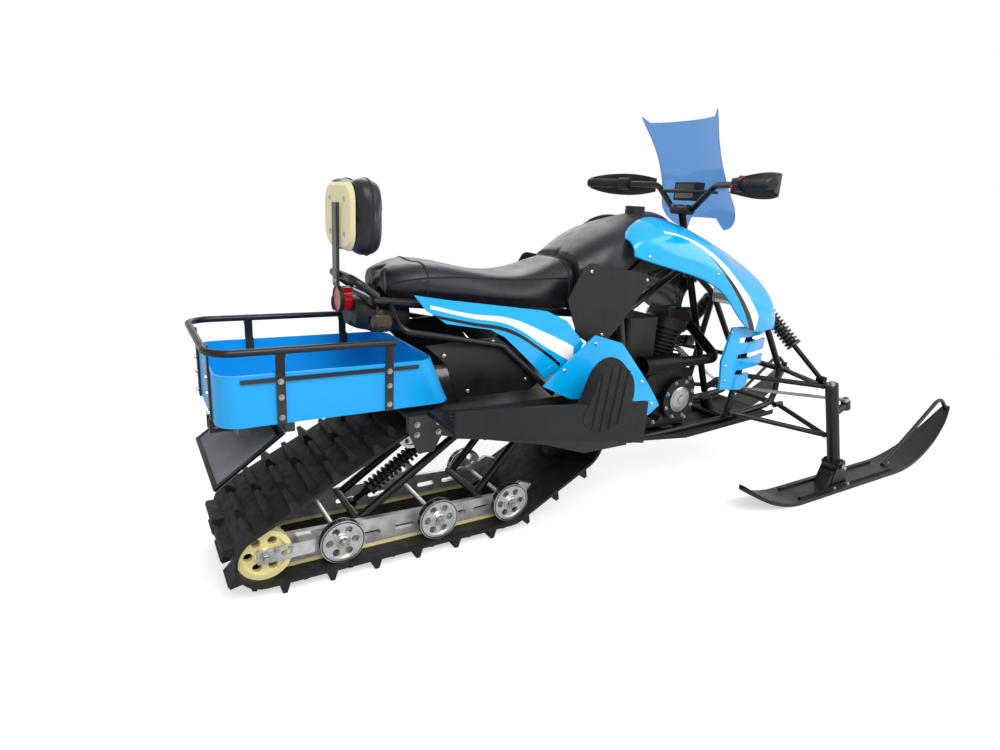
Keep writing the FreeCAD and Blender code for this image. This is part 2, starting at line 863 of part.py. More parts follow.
def build_hangers():
    thickness = size("sheet_thickness")
    station = size("hanger_station")
    length = size("hanger_length")
    middle = size("carrier_station")
    foot = size("hanger_foot_length") / 2
    outline = [(station, size("tunnel_side_rear_height") - size("fit_gap")), (station, size("tunnel_top_height")),
               (station + length, size("tunnel_top_height")),
               (station + length, size("tunnel_side_rear_height")),
               (middle + foot, size("hanger_low_height")), (middle - foot, size("hanger_low_height"))]
    left = plate(outline, size("tunnel_half_width"), thickness)
    add_shape("hanger_brackets", both_sides(left))

def build_rear_rack():
    """Two lengthwise bars over the tunnel and two cross bars carry the cargo tray."""
    low = "Dims.tray_floor_height - Dims.rack_bar_height"
    bars = []
    for name, place in (("rack_left", "Dims.rack_bar_spacing"), ("rack_right", "-Dims.rack_bar_spacing")):
        bars.append(block(name, ("Dims.rack_front_station - Dims.rack_rear_station", "Dims.rack_bar_width",
                                 "Dims.rack_bar_height"),
                          ("Dims.rack_rear_station", f"{place} - Dims.rack_bar_width / 2", low)))
    for name, station in (("rack_rear", "Dims.rack_rear_station"), ("rack_front", "Dims.flap_top_station")):
        bars.append(block(name, ("Dims.rack_bar_width", "2 * Dims.tray_half_width", "Dims.rack_bar_height"),
                          (station, "-Dims.tray_half_width", low)))
    finish(fused("rear_rack", bars), "rear_rack")


def build_footboards(guards):
    """A deck beside the tunnel on each side, with a deep edge outside that the foot guard is set into."""
    thickness = size("footboard_thickness")
    rear = size("footboard_rear_station")
    front = size("footboard_front_station")
    high = size("footboard_rear_height")
    low = size("footboard_front_height")
    inner = size("tunnel_half_width") + size("sheet_thickness") + size("fit_gap")
    deck = plate([(rear, high - thickness), (front, low - thickness), (front, low), (rear, high)],
                 inner, size("footboard_width"))
    edge = plate([(rear, size("footboard_edge_rear_low")), (front, size("footboard_edge_front_low")),
                  (front, size("footboard_edge_front_top")), (rear, size("footboard_edge_rear_top"))],
                 inner + size("footboard_width") - thickness, thickness)
    left = join([deck, edge])
    return add_shape("footboards", both_sides(largest(left.cut(guards.Shape))))

def build_cargo_tray():
    """A bin whose front wall is thicker at its foot: one loft, and a straight hollow taken out."""
    body = doc.addObject("PartDesign::Body", "cargo_tray")
    plane = next(f for f in body.Origin.OriginFeatures if f.Role == "XY_Plane")

    def outline(name, inset, flare, height):
        sketch = body.newObject("Sketcher::SketchObject", name)
        sketch.AttachmentSupport = [(plane, "")]
        sketch.MapMode = "FlatFace"
        sketch.setExpression("AttachmentOffset.Base.z", height)
        rear = size("tray_rear_station") + inset
        front = size("tray_rear_station") + size("tray_length") + flare - inset
        half = size("tray_half_width") - inset
        radius = size("tray_corner_radius") - inset
        corners = ((front, half, 0), (rear, half, 1), (rear, -half, 2), (front, -half, 3))
        ends = []
        for along, across, quarter in corners:
            centre = FreeCAD.Vector(along - math.copysign(radius, along - (rear + front) / 2),
                                    across - math.copysign(radius, across), 0)
            circle = Part.Circle(centre, FreeCAD.Vector(0, 0, 1), radius)
            arc = Part.ArcOfCircle(circle, quarter * math.pi / 2, (quarter + 1) * math.pi / 2)
            sketch.addGeometry(arc, False)
            ends.append((arc.StartPoint, arc.EndPoint))
        for (_, end), (start, _) in zip(ends, ends[1:] + ends[:1]):
            sketch.addGeometry(Part.LineSegment(end, start), False)
        return sketch

    flare = size("tray_front_flare")
    wall = size("tray_wall")
    rim = "Dims.tray_floor_height + Dims.tray_height"
    outer_loft = body.newObject("PartDesign::AdditiveLoft", "tray_block")
    outer_loft.Profile = outline("tray_foot", 0, flare, "Dims.tray_floor_height")
    outer_loft.Sections = [outline("tray_rim", 0, 0, rim)]
    outer_loft.Ruled = True
    inner_loft = body.newObject("PartDesign::SubtractiveLoft", "tray_hollow")
    inner_loft.Profile = outline("hollow_foot", wall, 0, "Dims.tray_floor_height + Dims.tray_wall")
    inner_loft.Sections = [outline("hollow_rim", wall, 0, rim)]
    inner_loft.Ruled = True
    finish(body, "cargo_tray")


def tray_upright(station):
    """A left upright: a strap up the tray's side to the rail, hooked over the rim."""
    radius = size("rail_tube_radius")
    width = size("upright_width")
    thickness = size("upright_thickness")
    gap = size("fit_gap")
    outer = size("tray_half_width") + gap
    inner = size("tray_half_width") - size("tray_wall") - gap - thickness
    low = size("tray_floor_height")
    rim = low + size("tray_height") + gap
    top = size("rail_top_height")
    leg = Part.makeBox(width, thickness, top - low, point(station, outer, low))
    fold = Part.makeBox(width, outer + thickness - inner, thickness, point(station, inner, rim))
    hook = size("upright_hook")
    inside = Part.makeBox(width, thickness, hook, point(station, inner, rim - hook))
    seat = Part.makeBox(width, thickness + radius, 2 * radius, point(station, outer, top - 2 * radius))
    return join([leg, fold, inside, seat])


def build_tray_rails():
    """A U of round tube over the tray, on straps down its sides and rear and a thin band round it."""
    radius = size("rail_tube_radius")
    half = size("tray_half_width") + size("upright_thickness") + size("fit_gap") + radius
    rear = radius
    front = size("upright_middle_station") + size("upright_width")
    top = size("rail_top_height")
    corners = [point(front, half, top), point(rear, half, top), point(rear, -half, top), point(front, -half, top)]
    pieces = [tube(corners, radius, size("rail_bend_radius"))]
    width = size("upright_width")
    thickness = size("upright_thickness")
    inner = size("tray_half_width") + size("fit_gap")
    low = size("tray_floor_height")
    rim = low + size("tray_height")
    start = size("tray_rear_station") + size("tray_corner_radius")
    reach = size("tray_length") - 2 * size("tray_corner_radius")
    band = Part.makeBox(reach, thickness, size("band_height"),
                        point(start, inner, rim - 2 * size("band_height")))
    pieces += [band, mirrored(band)]
    for station in (size("upright_rear_station"), size("upright_middle_station")):
        left = tray_upright(station)
        pieces += [left, mirrored(left)]
    strap_rear = size("tray_rear_station") - size("fit_gap") - thickness
    for side in SIDES:
        across = side * half / 2 - width / 2
        pieces.append(Part.makeBox(thickness, width, top - low, point(strap_rear, across, low)))
        pieces.append(Part.makeBox(strap_rear + thickness - radius, width, radius,
                                   point(radius, across, top - radius)))
    add_shape("tray_rails", join(pieces))


def build_snow_flap():
    thickness = size("flap_thickness")
    top = (size("flap_top_station"), size("flap_top_height"))
    low = (size("flap_low_station"), size("flap_low_height"))
    outline = [top, low, (low[0] + thickness, low[1] - thickness), (top[0] + thickness, top[1] - thickness)]
    half = size("flap_width") / 2
    flap = plate(outline, -half, 2 * half)
    tab = Part.makeBox(size("rack_bar_width"), 2 * half, thickness,
                       point(size("flap_top_station"), -half, size("tray_floor_height") - size("rack_bar_height")
                             - thickness))
    stand = size("tray_floor_height") - size("rack_bar_height") - size("flap_top_height")
    web = Part.makeBox(thickness, 2 * half, stand,
                       point(size("flap_top_station"), -half, size("flap_top_height") - thickness))
    add_shape("snow_flap", join([flap, tab, web]))

def build_tow_hitch():
    """Two ears hang under the rack's rear bar, bored across for a tow pin."""
    high = "Dims.tray_floor_height - Dims.rack_bar_height"
    low = "Dims.hitch_height - 2 * Dims.hitch_bore_radius"
    reach = "Dims.rack_rear_station + Dims.rack_bar_width - Dims.hitch_rear_station"
    ears = []
    for name, across in (("ear_left", "Dims.hitch_ear_spacing"),
                         ("ear_right", "-Dims.hitch_ear_spacing - Dims.hitch_thickness")):
        ears.append(block(name, (reach, "Dims.hitch_thickness", f"{high} - ({low})"),
                          ("Dims.hitch_rear_station", across, low)))
    ears.append(block("hitch_root", ("Dims.rack_bar_width", "2 * Dims.hitch_ear_spacing", "Dims.hitch_thickness"),
                      ("Dims.rack_rear_station", "-Dims.hitch_ear_spacing", f"{high} - Dims.hitch_thickness")))
    bore = drum("hitch_bore", "Dims.hitch_bore_radius", "4 * Dims.hitch_ear_spacing",
                ("Dims.hitch_rear_station + 2 * Dims.hitch_bore_radius", "2 * Dims.hitch_ear_spacing",
                 "Dims.hitch_height"), FreeCAD.Rotation(FreeCAD.Vector(1, 0, 0), 90))
    finish(less("tow_hitch", fused("hitch_ears", ears), bore), "tow_hitch")


# Frame
rake = math.radians(size("steering_rake"))
steering_axis = FreeCAD.Vector(-math.sin(rake), 0, math.cos(rake))
stem_height = size("body_height") + size("stem_rise")
bar_height = stem_height + size("bar_rise")
frame_front_low = size("frame_low_height") + size("frame_front_rise")
frame_front_high = frame_front_low + size("frame_front_height")


def along_stem(height):
    """The place on the steering stem's axis at a height."""
    return point(size("stem_station") + (stem_height - height) * math.tan(rake), 0, height)


def along_kingpin(height, side):
    station = size("kingpin_station") + (size("kingpin_height") - height) * math.tan(rake)
    return point(station, side * size("kingpin_half_width"), height)

def seat_rail_height(station):
    """The seat rail's axis, which rises from the frame's middle to the rear."""
    rear = size("seat_rail_rear_station")
    share = (station - rear) / (size("tunnel_front_station") - rear)
    high = size("body_height") + size("seat_rail_rear_rise")
    low = size("body_height") - size("seat_rail_front_drop")
    return high + (low - high) * share


def along_seat_rail(station, side):
    return point(station, side * size("seat_rail_half_width"), seat_rail_height(station))


def along_stay(height, side):
    """The place at a height on the stay from the lower rail up to the shock tower."""
    low = size("frame_low_height")
    share = (height - low) / (size("shock_tower_height") - low)
    station = size("arm_rear_station") + (size("shock_tower_station") - size("arm_rear_station")) * share
    return point(station, side * size("frame_front_half_width"), height)

def side_tube(side):
    """The round tube that runs over the side cover and down to the tunnel."""
    stub = size("stub_radius")
    across = side * (size("side_cover_half_width") + stub + size("panel_gap"))
    start = along_seat_rail(size("side_tube_rear_station"), side)
    roof = size("tunnel_top_height") + stub + size("fit_gap")
    route = [start,
             point(size("side_tube_rear_station"), across, size("body_height") - size("side_tube_rear_drop")),
             point(size("side_tube_middle_station"), across, size("body_height") - size("side_tube_middle_drop")),
             point(size("side_tube_front_station"), across, roof)]
    return tube(route, stub, size("frame_bend_radius") / 2)


def build_main_frame(rib_fairings):
    """The cradle round the engine, the front hoop, the shock tower and the head tube."""
    radius = size("frame_tube_radius")
    bend = size("frame_bend_radius")
    half = size("frame_half_width")
    front_half = size("frame_front_half_width")
    front = size("frame_front_station")
    low = size("frame_low_height")
    tower = size("shock_tower_station")
    tower_height = size("shock_tower_height")
    head = along_stem(size("body_height") + size("head_tube_rise"))
    tunnel_front = size("tunnel_front_station") + radius + size("fit_gap")
    pieces = []
    for side in SIDES:
        beside_head = point(head.x, side * size("head_tube_radius"), head.z)
        seat_corner = along_seat_rail(size("tunnel_front_station"), side)
        lower = [point(tunnel_front, side * half, size("tunnel_top_height")),
                 point(tunnel_front, side * half, low),
                 point(size("arm_rear_station"), side * front_half, low),
                 point(front, side * front_half, frame_front_low),
                 point(front, side * front_half, frame_front_high),
                 point(tower, side * front_half, tower_height)]
        upper = [point(tower, side * front_half, tower_height), beside_head]
        down = [point(tunnel_front, side * half, size("tunnel_top_height")), seat_corner]
        stay = [along_stay(low, side), along_stay(tower_height, side)]
        for route in (lower, upper, [beside_head, seat_corner], down, stay):
            pieces.append(tube(route, radius, bend))
        stub_place = along_stay(low + size("rib_stub_rise"), side)
        pieces.append(rod(stub_place, point(stub_place.x, side * size("rib_half_width"), stub_place.z),
                          size("stub_radius")))
    for station, height, reach in (
            (tower, tower_height, front_half),
            (front, frame_front_low, front_half),
            (front, frame_front_high, front_half),
            (size("arm_rear_station"), low, front_half),
            (tunnel_front, size("tunnel_top_height"), half),
            (size("engine_mount_rear_station"), low, half),
            (size("engine_mount_front_station"), low, front_half + radius)):
        pieces.append(cross_rod(station, height, reach, radius))
    half_head = steering_axis * (size("head_tube_length") / 2)
    head_tube = rod(head - half_head, head + half_head, size("head_tube_radius"))
    bore = rod(head - half_head * 2, head + half_head * 2, size("stem_radius") + size("ball_clearance"))
    bearing_top = (size("stem_low_height") - 2 * size("pitman_thickness") - size("tie_eye_height")
                   - size("fit_gap"))
    bearing = rod(along_stem(low), along_stem(bearing_top), size("head_tube_radius"))
    frame = join(pieces + [head_tube, bearing]).cut(bore)
    return add_shape("main_frame", largest(frame.cut(rib_fairings.Shape)))


def build_seat_frame(main_frame, side_panels):
    """The seat rails, the cross tube at their rear, and the tubes and stubs beside them."""
    radius = size("frame_tube_radius")
    rear = size("seat_rail_rear_station")
    pieces = []
    for side in SIDES:
        pieces.append(rod(along_seat_rail(size("tunnel_front_station"), side), along_seat_rail(rear, side), radius))
        pieces.append(side_tube(side))
        place = along_seat_rail(size("panel_stub_station"), side)
        pieces.append(rod(place, point(place.x, side * size("side_panel_half_width"), place.z), size("stub_radius")))
    for station in (rear, size("side_tube_front_station")):
        pieces.append(cross_rod(station, seat_rail_height(station), size("seat_rail_half_width"), radius))
    frame = join(pieces).cut(main_frame.Shape).cut(side_panels.Shape)
    return add_shape("seat_frame", largest(frame))


def build_belly_pan(frame):
    wall = size("belly_wall")
    rear = size("belly_rear_station")
    front = size("belly_front_station")
    length = front - rear
    low = size("belly_low_height")
    rise = size("belly_rear_height") - low
    bottom_shares = ((0, 1), (0.37, 0), (0.7, 0.45), (1, 0.9))
    bottom = [(rear + length * along, low + rise * up) for along, up in bottom_shares]
    top = [(station, height + wall) for station, height in reversed(bottom)]
    half = size("belly_half_width")
    floor = plate(bottom + top, -half, 2 * half)
    wall_top = [(station, height + size("belly_side_height")) for station, height in reversed(bottom)]
    left = plate(bottom + wall_top, half - wall, wall)
    add_shape("belly_pan", join([floor, left, mirrored(left)]).cut(frame.Shape))

# Engine, drive and exhaust
def crankcase_low():
    """The engine rests on the frame's two cross tubes."""
    return size("frame_low_height") + size("frame_tube_radius") + size("fit_gap")


CASE_SHARES = ((0, 0.25), (0.12, 0), (0.85, 0), (1, 0.2), (1, 0.7), (0.86, 1), (0.3, 1), (0, 0.72))
COVER_BOSS_SHARE = 0.55
CYLINDER_FOOT_SHARE = 0.9
HEAD_SHARE = 0.8
INTAKE_SHARE = 0.66


def cylinder_axis():
    lean = math.radians(size("cylinder_lean"))
    return FreeCAD.Vector(math.sin(lean), 0, math.cos(lean))


def cylinder_place(share):
    """A place up the cylinder's axis, as a share of its height."""
    foot = point(size("cylinder_station"), 0, crankcase_low() + size("crankcase_height") * CYLINDER_FOOT_SHARE)
    return foot + cylinder_axis() * (size("cylinder_height") * share)


def build_engine():
    """Crankcase with stepped round covers and a pedal, finned cylinder, rocker box and intake."""
    half = size("crankcase_half_width")
    low = crankcase_low()
    height = size("crankcase_height")
    outline = scaled(CASE_SHARES, size("crankcase_station"), size("crankcase_length"), low, height)
    pieces = [plate(outline, -half, 2 * half)]
    middle = point(size("cover_station"), 0, low + height / 2)
    for side in SIDES:
        face = half + size("cover_depth")
        for reach, radius in ((face, size("cover_radius")),
                              (face + size("cover_step"), size("cover_radius") * COVER_BOSS_SHARE)):
            pieces.append(rod(middle, middle + point(0, side * reach, 0), radius))
    axis = cylinder_axis()
    pieces.append(rod(cylinder_place(0), cylinder_place(1), size("cylinder_radius")))
    for index in range(2, int(size("cylinder_height") * HEAD_SHARE / size("fin_pitch"))):
        start = cylinder_place(0) + axis * (index * size("fin_pitch"))
        pieces.append(rod(start, start + axis * size("fin_thickness"), size("fin_radius")))
    pieces.append(rod(cylinder_place(HEAD_SHARE), cylinder_place(1), size("fin_radius") - size("fin_thickness")))
    rocker = rod(cylinder_place(1), cylinder_place(1) + axis * size("rocker_height"), size("fin_radius"))
    width = size("cylinder_radius")
    rocker_box = Part.makeBox(2 * width, 2 * width, 2 * width + size("rocker_height"),
                              cylinder_place(1) - point(width, width, width))
    pieces.append(rocker.common(rocker_box))
    intake_start = point(size("air_box_station") + size("air_box_length") + size("fit_gap"), 0,
                         air_box_low() + size("air_box_height") / 2)
    pieces.append(rod(intake_start, cylinder_place(INTAKE_SHARE), size("intake_radius")))
    pedal_root = point(size("pedal_station"), 0, size("pedal_height"))
    knuckle = pedal_root - point(0, half + size("cover_depth"), 0)
    pieces.append(rod(pedal_root, knuckle, size("pedal_radius") / 2))
    pieces.append(rod(knuckle, knuckle - point(0, size("pedal_length"), 0), size("pedal_radius")))
    return add_shape("engine", join(pieces))


def air_box_low():
    """The air box hangs just under the tank cover's foot."""
    return size("body_height") - size("air_box_drop") - size("air_box_height")


def build_air_box(engine):
    half = size("air_box_half_width")
    box = Part.makeBox(size("air_box_length"), 2 * half, size("air_box_height"),
                       point(size("air_box_station"), -half, air_box_low()))
    upright = [edge for edge in box.Edges if abs(edge.tangentAt(edge.FirstParameter).z) > HEAD_SHARE]
    add_shape("air_box", largest(box.makeFillet(size("intake_radius"), upright).cut(engine.Shape)))


def build_chain_case():
    """The closed chain case outside the tunnel's left side, and the shaft from the engine to it."""
    wheels = ((size("drive_station"), size("drive_height"), size("chain_case_radius")),
              (size("output_station"), size("output_height"), size("chain_case_front_radius")))
    inner = size("tunnel_half_width") + size("fit_gap")
    face = wrapped_face(wheels, 0)
    face.translate(point(0, inner, 0))
    case = face.extrude(point(0, size("chain_case_thickness"), 0))
    start = point(size("output_station"), size("crankcase_half_width") + size("fit_gap"), size("output_height"))
    shaft = rod(start, point(start.x, inner + size("chain_case_thickness") / 2, start.z), size("output_radius"))
    add_shape("chain_case", join([case, shaft]))


def build_exhaust(engine):
    """The pipe leaves the head in front and runs back outside the frame to the silencer."""
    radius = size("exhaust_radius")
    muffler = size("muffler_radius")
    half = size("muffler_half_width")
    height = size("muffler_height")
    front = size("header_front_station")
    port = cylinder_place(CYLINDER_FOOT_SHARE)
    can_start = point(size("crankcase_station") - muffler, -half, height)
    can_end = can_start + point(size("muffler_length"), 0, 0)
    header = tube([port, point(front, 0, port.z), point(front, -half, height), can_end], radius, muffler)
    add_shape("exhaust", largest(join([header, rod(can_start, can_end, muffler)]).cut(engine.Shape)))


# Seat and bodywork
SEAT_SHARES = ((0, 0.6, 0.70), (0.13, 0.88, 0.79), (0.38, 1.0, 0.72), (0.62, 1.0, 0.60), (0.82, 0.9, 0.72),
               (1, 0.8, 0.95))
TANK_SHARES = ((0, 0.78, 0.03, 0.56), (0.18, 0.92, 0.02, 0.72), (0.4, 0.9, 0.1, 0.86),
               (0.62, 0.62, 0.24, 0.95), (0.8, 0.5, 0.4, 0.99), (1, 0.36, 0.55, 0.93))
SKIRT_SHARES = ((0, 0.57), (0.18, 1), (1, 0.84), (0.84, 0.66), (0.64, 0.3), (0.43, 0), (0.32, 0.01), (0.14, 0.15))
TANK_SEAM_SHARES = ((-0.1, 0.22), (0.1, 0.27), (0.55, 0.5), (0.8, 0.66), (1.1, 0.86))


def hull_loft(shares, station, length, half_width, low, depth):
    return loft([hull_section(station + length * along, half_width * wide, low + depth * bottom, low + depth * top)
                 for along, wide, bottom, top in shares])

def build_seat():
    """The seat lies along the seat rails and ends against the tank cover."""
    rear = size("seat_rear_station")
    length = size("tank_station") - size("fit_gap") - rear
    rail_top = size("frame_tube_radius") + size("fit_gap")
    sections = []
    for along, wide, top in SEAT_SHARES:
        station = rear + length * along
        sections.append(hull_section(station, size("seat_half_width") * wide, seat_rail_height(station) + rail_top,
                                     size("body_height") + size("seat_depth") * top))
    add_shape("seat", Part.makeLoft(sections, True, False).cut(seat_frame_space()))


def seat_frame_space():
    """The room that the seat rails take under the seat, where the loft would sag into it."""
    rear = size("seat_rear_station") - size("cut_margin")
    front = size("tank_station") + size("cut_margin")
    clear = size("frame_tube_radius") + size("fit_gap")
    outline = [(rear, 0), (front, 0), (front, seat_rail_height(front) + clear),
               (rear, seat_rail_height(rear) + clear)]
    return plate(outline, -size("seat_half_width") * 2, size("seat_half_width") * 4)


def build_tank(shrouds, frame, seat_frame):
    """The tank's hull in two: a padded top that carries on the seat, and plastic sides below its seam."""
    low = size("body_height")
    depth = size("tank_depth")
    half = size("tank_half_width")
    hull = hull_loft(TANK_SHARES, size("tank_station"), size("tank_length"), half, low, depth)
    for neighbour in (shrouds, frame, seat_frame):
        hull = largest(hull.cut(neighbour.Shape))
    seam = scaled(TANK_SEAM_SHARES, size("tank_station"), size("tank_length"), low, depth)
    over = [(seam[-1][0], low + 2 * depth), (seam[0][0], low + 2 * depth)]
    above = plate(seam + over, -2 * half, 4 * half)
    pad = largest(hull.common(above))
    add_shape("tank_pad", pad)
    add_shape("tank_cover", largest(hull.cut(above)))
    outline = scaled(SKIRT_SHARES, size("skirt_station"), size("skirt_length"), low - size("skirt_drop"),
                     size("skirt_height"))
    skirt = plate(outline, hull.optimalBoundingBox(False).YMax + 2 * size("fit_gap"), size("shell_thickness"))
    corners = [edge for edge in skirt.Edges if abs(edge.tangentAt(edge.FirstParameter).y) > HEAD_SHARE]
    add_shape("tank_skirts", both_sides(largest(skirt.makeFillet(size("skirt_corner_radius"), corners))))
    top = low + depth
    cap = Part.makeCylinder(size("cap_radius"), size("cap_height"),
                            point(size("cap_station"), 0, top - size("cap_height") / 2))
    add_shape("fuel_cap", largest(cap.cut(pad)))


SHROUD_SHARES = ((0, 0.5, 0.84, 0.76, 0.70), (0.12, 0.42, 1.0, 0.82, 0.64), (0.36, 0.4, 0.97, 0.92, 0.53),
                 (0.56, 0.42, 0.84, 0.98, 0.34), (0.74, 0.48, 0.70, 1.0, 0.05), (0.9, 0.56, 0.54, 0.98, 0.0),
                 (1, 0.66, 0.34, 0.92, 0.0))
SHROUD_WAIST_SHARE = 0.6
SHROUD_WAIST_WIDTH_SHARE = 0.93


def shroud_low():
    return size("body_height") + size("shroud_rise") - size("shroud_drop")


def build_shrouds():
    low = shroud_low()
    half = size("shroud_half_width")
    sections = []
    for along, top_across, top, low_across, bottom in SHROUD_SHARES:
        station = size("shroud_station") + size("shroud_length") * along
        high = low + size("shroud_drop") * top
        foot = low + size("shroud_drop") * bottom
        waist = foot + (high - foot) * SHROUD_WAIST_SHARE
        across = max(top_across, low_across) * half * SHROUD_WAIST_WIDTH_SHARE
        outer = [(top_across * half, high), (across, waist), (low_across * half, foot)]
        sections.append(strip_section(station, outer, size("shell_thickness")))
    return add_shape("front_shrouds", both_sides(loft(sections)))


NOSE_SHARES = ((0, 0.47, 0.72, 0.83), (0.35, 0.51, 0.61, 0.76), (0.65, 0.56, 0.50, 0.67), (1, 0.65, 0.34, 0.44))


def build_nose(shrouds, frame):
    """The bonnet between the shrouds, and the lamp under its front edge."""
    half = size("shroud_half_width")
    thickness = size("shell_thickness")
    sections = []
    for along, across, edge, crown in NOSE_SHARES:
        station = size("nose_station") + size("nose_length") * along
        side_height = shroud_low() + size("shroud_drop") * edge
        top = shroud_low() + size("shroud_drop") * crown
        line = [point(station, half * across * share, top + (side_height - top) * share * share)
                for share in (-1, -0.5, 0, 0.5, 1)]
        outer = Part.BSplineCurve()
        outer.interpolate(line)
        inner = Part.BSplineCurve()
        inner.interpolate([place - point(0, 0, thickness) for place in line])
        outer_edge = outer.toShape()
        inner_edge = inner.toShape()
        ends = [Part.makeLine(outer_edge.Vertexes[index].Point, inner_edge.Vertexes[index].Point)
                for index in (-1, 0)]
        sections.append(Part.Wire([outer_edge, ends[0], inner_edge, ends[1]]))
    nose = largest(loft(sections).cut(shrouds.Shape))
    add_shape("nose_panel", nose)
    front = size("lamp_station") + size("lamp_length")
    high = shroud_low() + size("shroud_drop") * NOSE_SHARES[-1][2] + size("lamp_drop")
    low = high - size("lamp_height")
    lamp = loft([rounded_rectangle(size("lamp_station"), size("lamp_half_width") / 2, low + size("lamp_drop"),
                                   high, size("lamp_drop")),
                 rounded_rectangle(front, size("lamp_half_width"), low, high, size("lamp_drop") * 2)])
    add_shape("headlamp", largest(lamp.cut(nose).cut(frame.Shape).cut(shrouds.Shape)))


RIB_SPINE_SHARES = ((0.5, 0), (0.06, 0.06), (0, 0.5), (0.12, 1))
RIB_TIP_SHARES = (0.95, 1.0, 1.0, 0.62)
RIB_ROOT_SHARE = 0.28
RIB_GAP_SHARE = 0.34
SIDE_SKIN_SHARES = ((0, (0.70, 0.76, 0.84, 0.86)), (0.5, (0.84, 0.90, 0.96, 0.95)), (1, (0.90, 0.96, 1.0, 1.0)))
COVER_SKIN_SHARES = ((0, (0.84, 0.96, 1.0, 0.9)), (0.5, (0.92, 1.0, 1.0, 0.94)), (1, (0.94, 0.98, 1.0, 0.96)))
KNEE_SKIN_SHARES = ((0, (0.74, 0.78, 0.86, 0.90)), (0.4, (0.78, 0.86, 0.95, 0.98)), (0.75, (0.84, 0.92, 1.0, 1.0)),
                    (1, (0.84, 0.93, 1.0, 1.0)))
RIB_SKIN_SHARES = ((0, (0.96, 0.98, 0.98, 0.94)), (0.35, (1.0, 1.0, 1.0, 0.96)), (0.7, (0.93, 0.93, 0.93, 0.90)),
                   (1, (0.74, 0.76, 0.76, 0.74)))
SKIN_HEIGHT_SHARES = (1.05, 0.7, 0.35, -0.05)


def curved_panel(outline_shares, skin_shares, prefix, low, thickness):
    """A left side panel: a thin curved skin, trimmed to its outline as seen from the side."""
    station = size(f"{prefix}_station")
    length = size(f"{prefix}_length")
    height = size(f"{prefix}_height")
    half = size(f"{prefix}_half_width")
    sections = []
    margin = size("cut_margin")
    ends = ((0, -margin), (len(skin_shares) - 1, margin))
    shift = dict(ends)
    for index, (along, widths) in enumerate(skin_shares):
        outer = [(half * wide, low + height * up) for wide, up in zip(widths, SKIN_HEIGHT_SHARES)]
        sections.append(upright_section(station + length * along + shift.get(index, 0), outer, thickness))
    trim = plate(scaled(outline_shares, station, length, low, height), half / 2, half)
    return largest(loft(sections).common(trim))


SIDE_PANEL_SHARES = ((0, 1), (0.16, 0.95), (0.44, 0.88), (0.74, 0.8), (0.87, 0.68), (0.99, 0.4), (0.97, 0.34),
                     (0.83, 0.09), (0.74, 0.0), (0.67, 0.16), (0.48, 0.53), (0.4, 0.62), (0.16, 0.70), (0.06, 0.84))
SIDE_COVER_SHARES = ((0.03, 0.92), (0.6, 1), (0.79, 0.74), (1.0, 0.1), (0.93, 0), (0.28, 0), (0.18, 0.6))
KNEE_PANEL_SHARES = ((0, 0.5), (0.44, 1), (0.66, 0.9), (0.8, 0.6), (1, 0.16), (0.9, 0.06), (0.72, 0), (0.55, 0.3),
                     (0.2, 0.35))
FOOT_GUARD_SHARES = ((0.66, 1.0), (0.99, 0.7), (1.0, 0.42), (0.76, 0.09), (0.32, 0.0), (0.0, 0.2), (0.13, 0.52),
                     (0.29, 0.87))
GUARD_RIB_SHARES = (0.3, 0.45, 0.6, 0.75)
GUARD_FACE_SHARE = 0.86


def rib_shares():
    """The outline of the ribbed fairing: a spine behind, and fingers that point forward from it."""
    shares = list(RIB_SPINE_SHARES)
    step = 1 / len(RIB_TIP_SHARES)
    for index, tip in enumerate(RIB_TIP_SHARES):
        high = 1 - step * index
        low = high - step * (1 - RIB_GAP_SHARE)
        if index:
            shares.append((RIB_ROOT_SHARE, high))
        shares.append((tip, high))
        shares.append((tip, low))
        if index < len(RIB_TIP_SHARES) - 1:
            shares.append((RIB_ROOT_SHARE, low))
    return shares


def build_rib_fairings():
    low = size("frame_low_height") + size("rib_rise")
    left = curved_panel(rib_shares(), RIB_SKIN_SHARES, "rib", low, 2 * size("shell_thickness"))
    return add_shape("rib_fairings", both_sides(left))


def build_side_panels():
    low = size("body_height") - size("side_panel_drop")
    left = curved_panel(SIDE_PANEL_SHARES, SIDE_SKIN_SHARES, "side_panel", low, size("shell_thickness"))
    return add_shape("side_panels", both_sides(left))


def build_foot_guards():
    """The domed guards on the footboards' edges, each with ribs on its face."""
    station = size("foot_guard_station")
    length = size("foot_guard_length")
    low = size("footboard_front_height") + size("foot_guard_rise")
    height = size("foot_guard_height")
    thick = size("foot_guard_thickness")
    inner = size("foot_guard_half_width") - thick
    foot_outline = scaled(FOOT_GUARD_SHARES, station, length, low, height)
    margin = (1 - GUARD_FACE_SHARE) / 2
    face_outline = scaled([(margin + along * GUARD_FACE_SHARE, margin + up * GUARD_FACE_SHARE)
                           for along, up in FOOT_GUARD_SHARES], station, length, low, height)
    guard = Part.makeLoft([smooth_face(foot_outline, inner).OuterWire,
                           smooth_face(face_outline, inner + thick).OuterWire], True, True)
    face_space = smooth_face(face_outline, inner + thick / 2).extrude(point(0, thick, 0))
    rib = size("foot_guard_rib")
    ribs = [rod(point(station + length * (share - margin), inner + thick, low),
                point(station + length * (share + margin), inner + thick, low + height), rib).common(face_space)
            for share in GUARD_RIB_SHARES]
    return add_shape("foot_guards", both_sides(largest(join([guard] + ribs))))


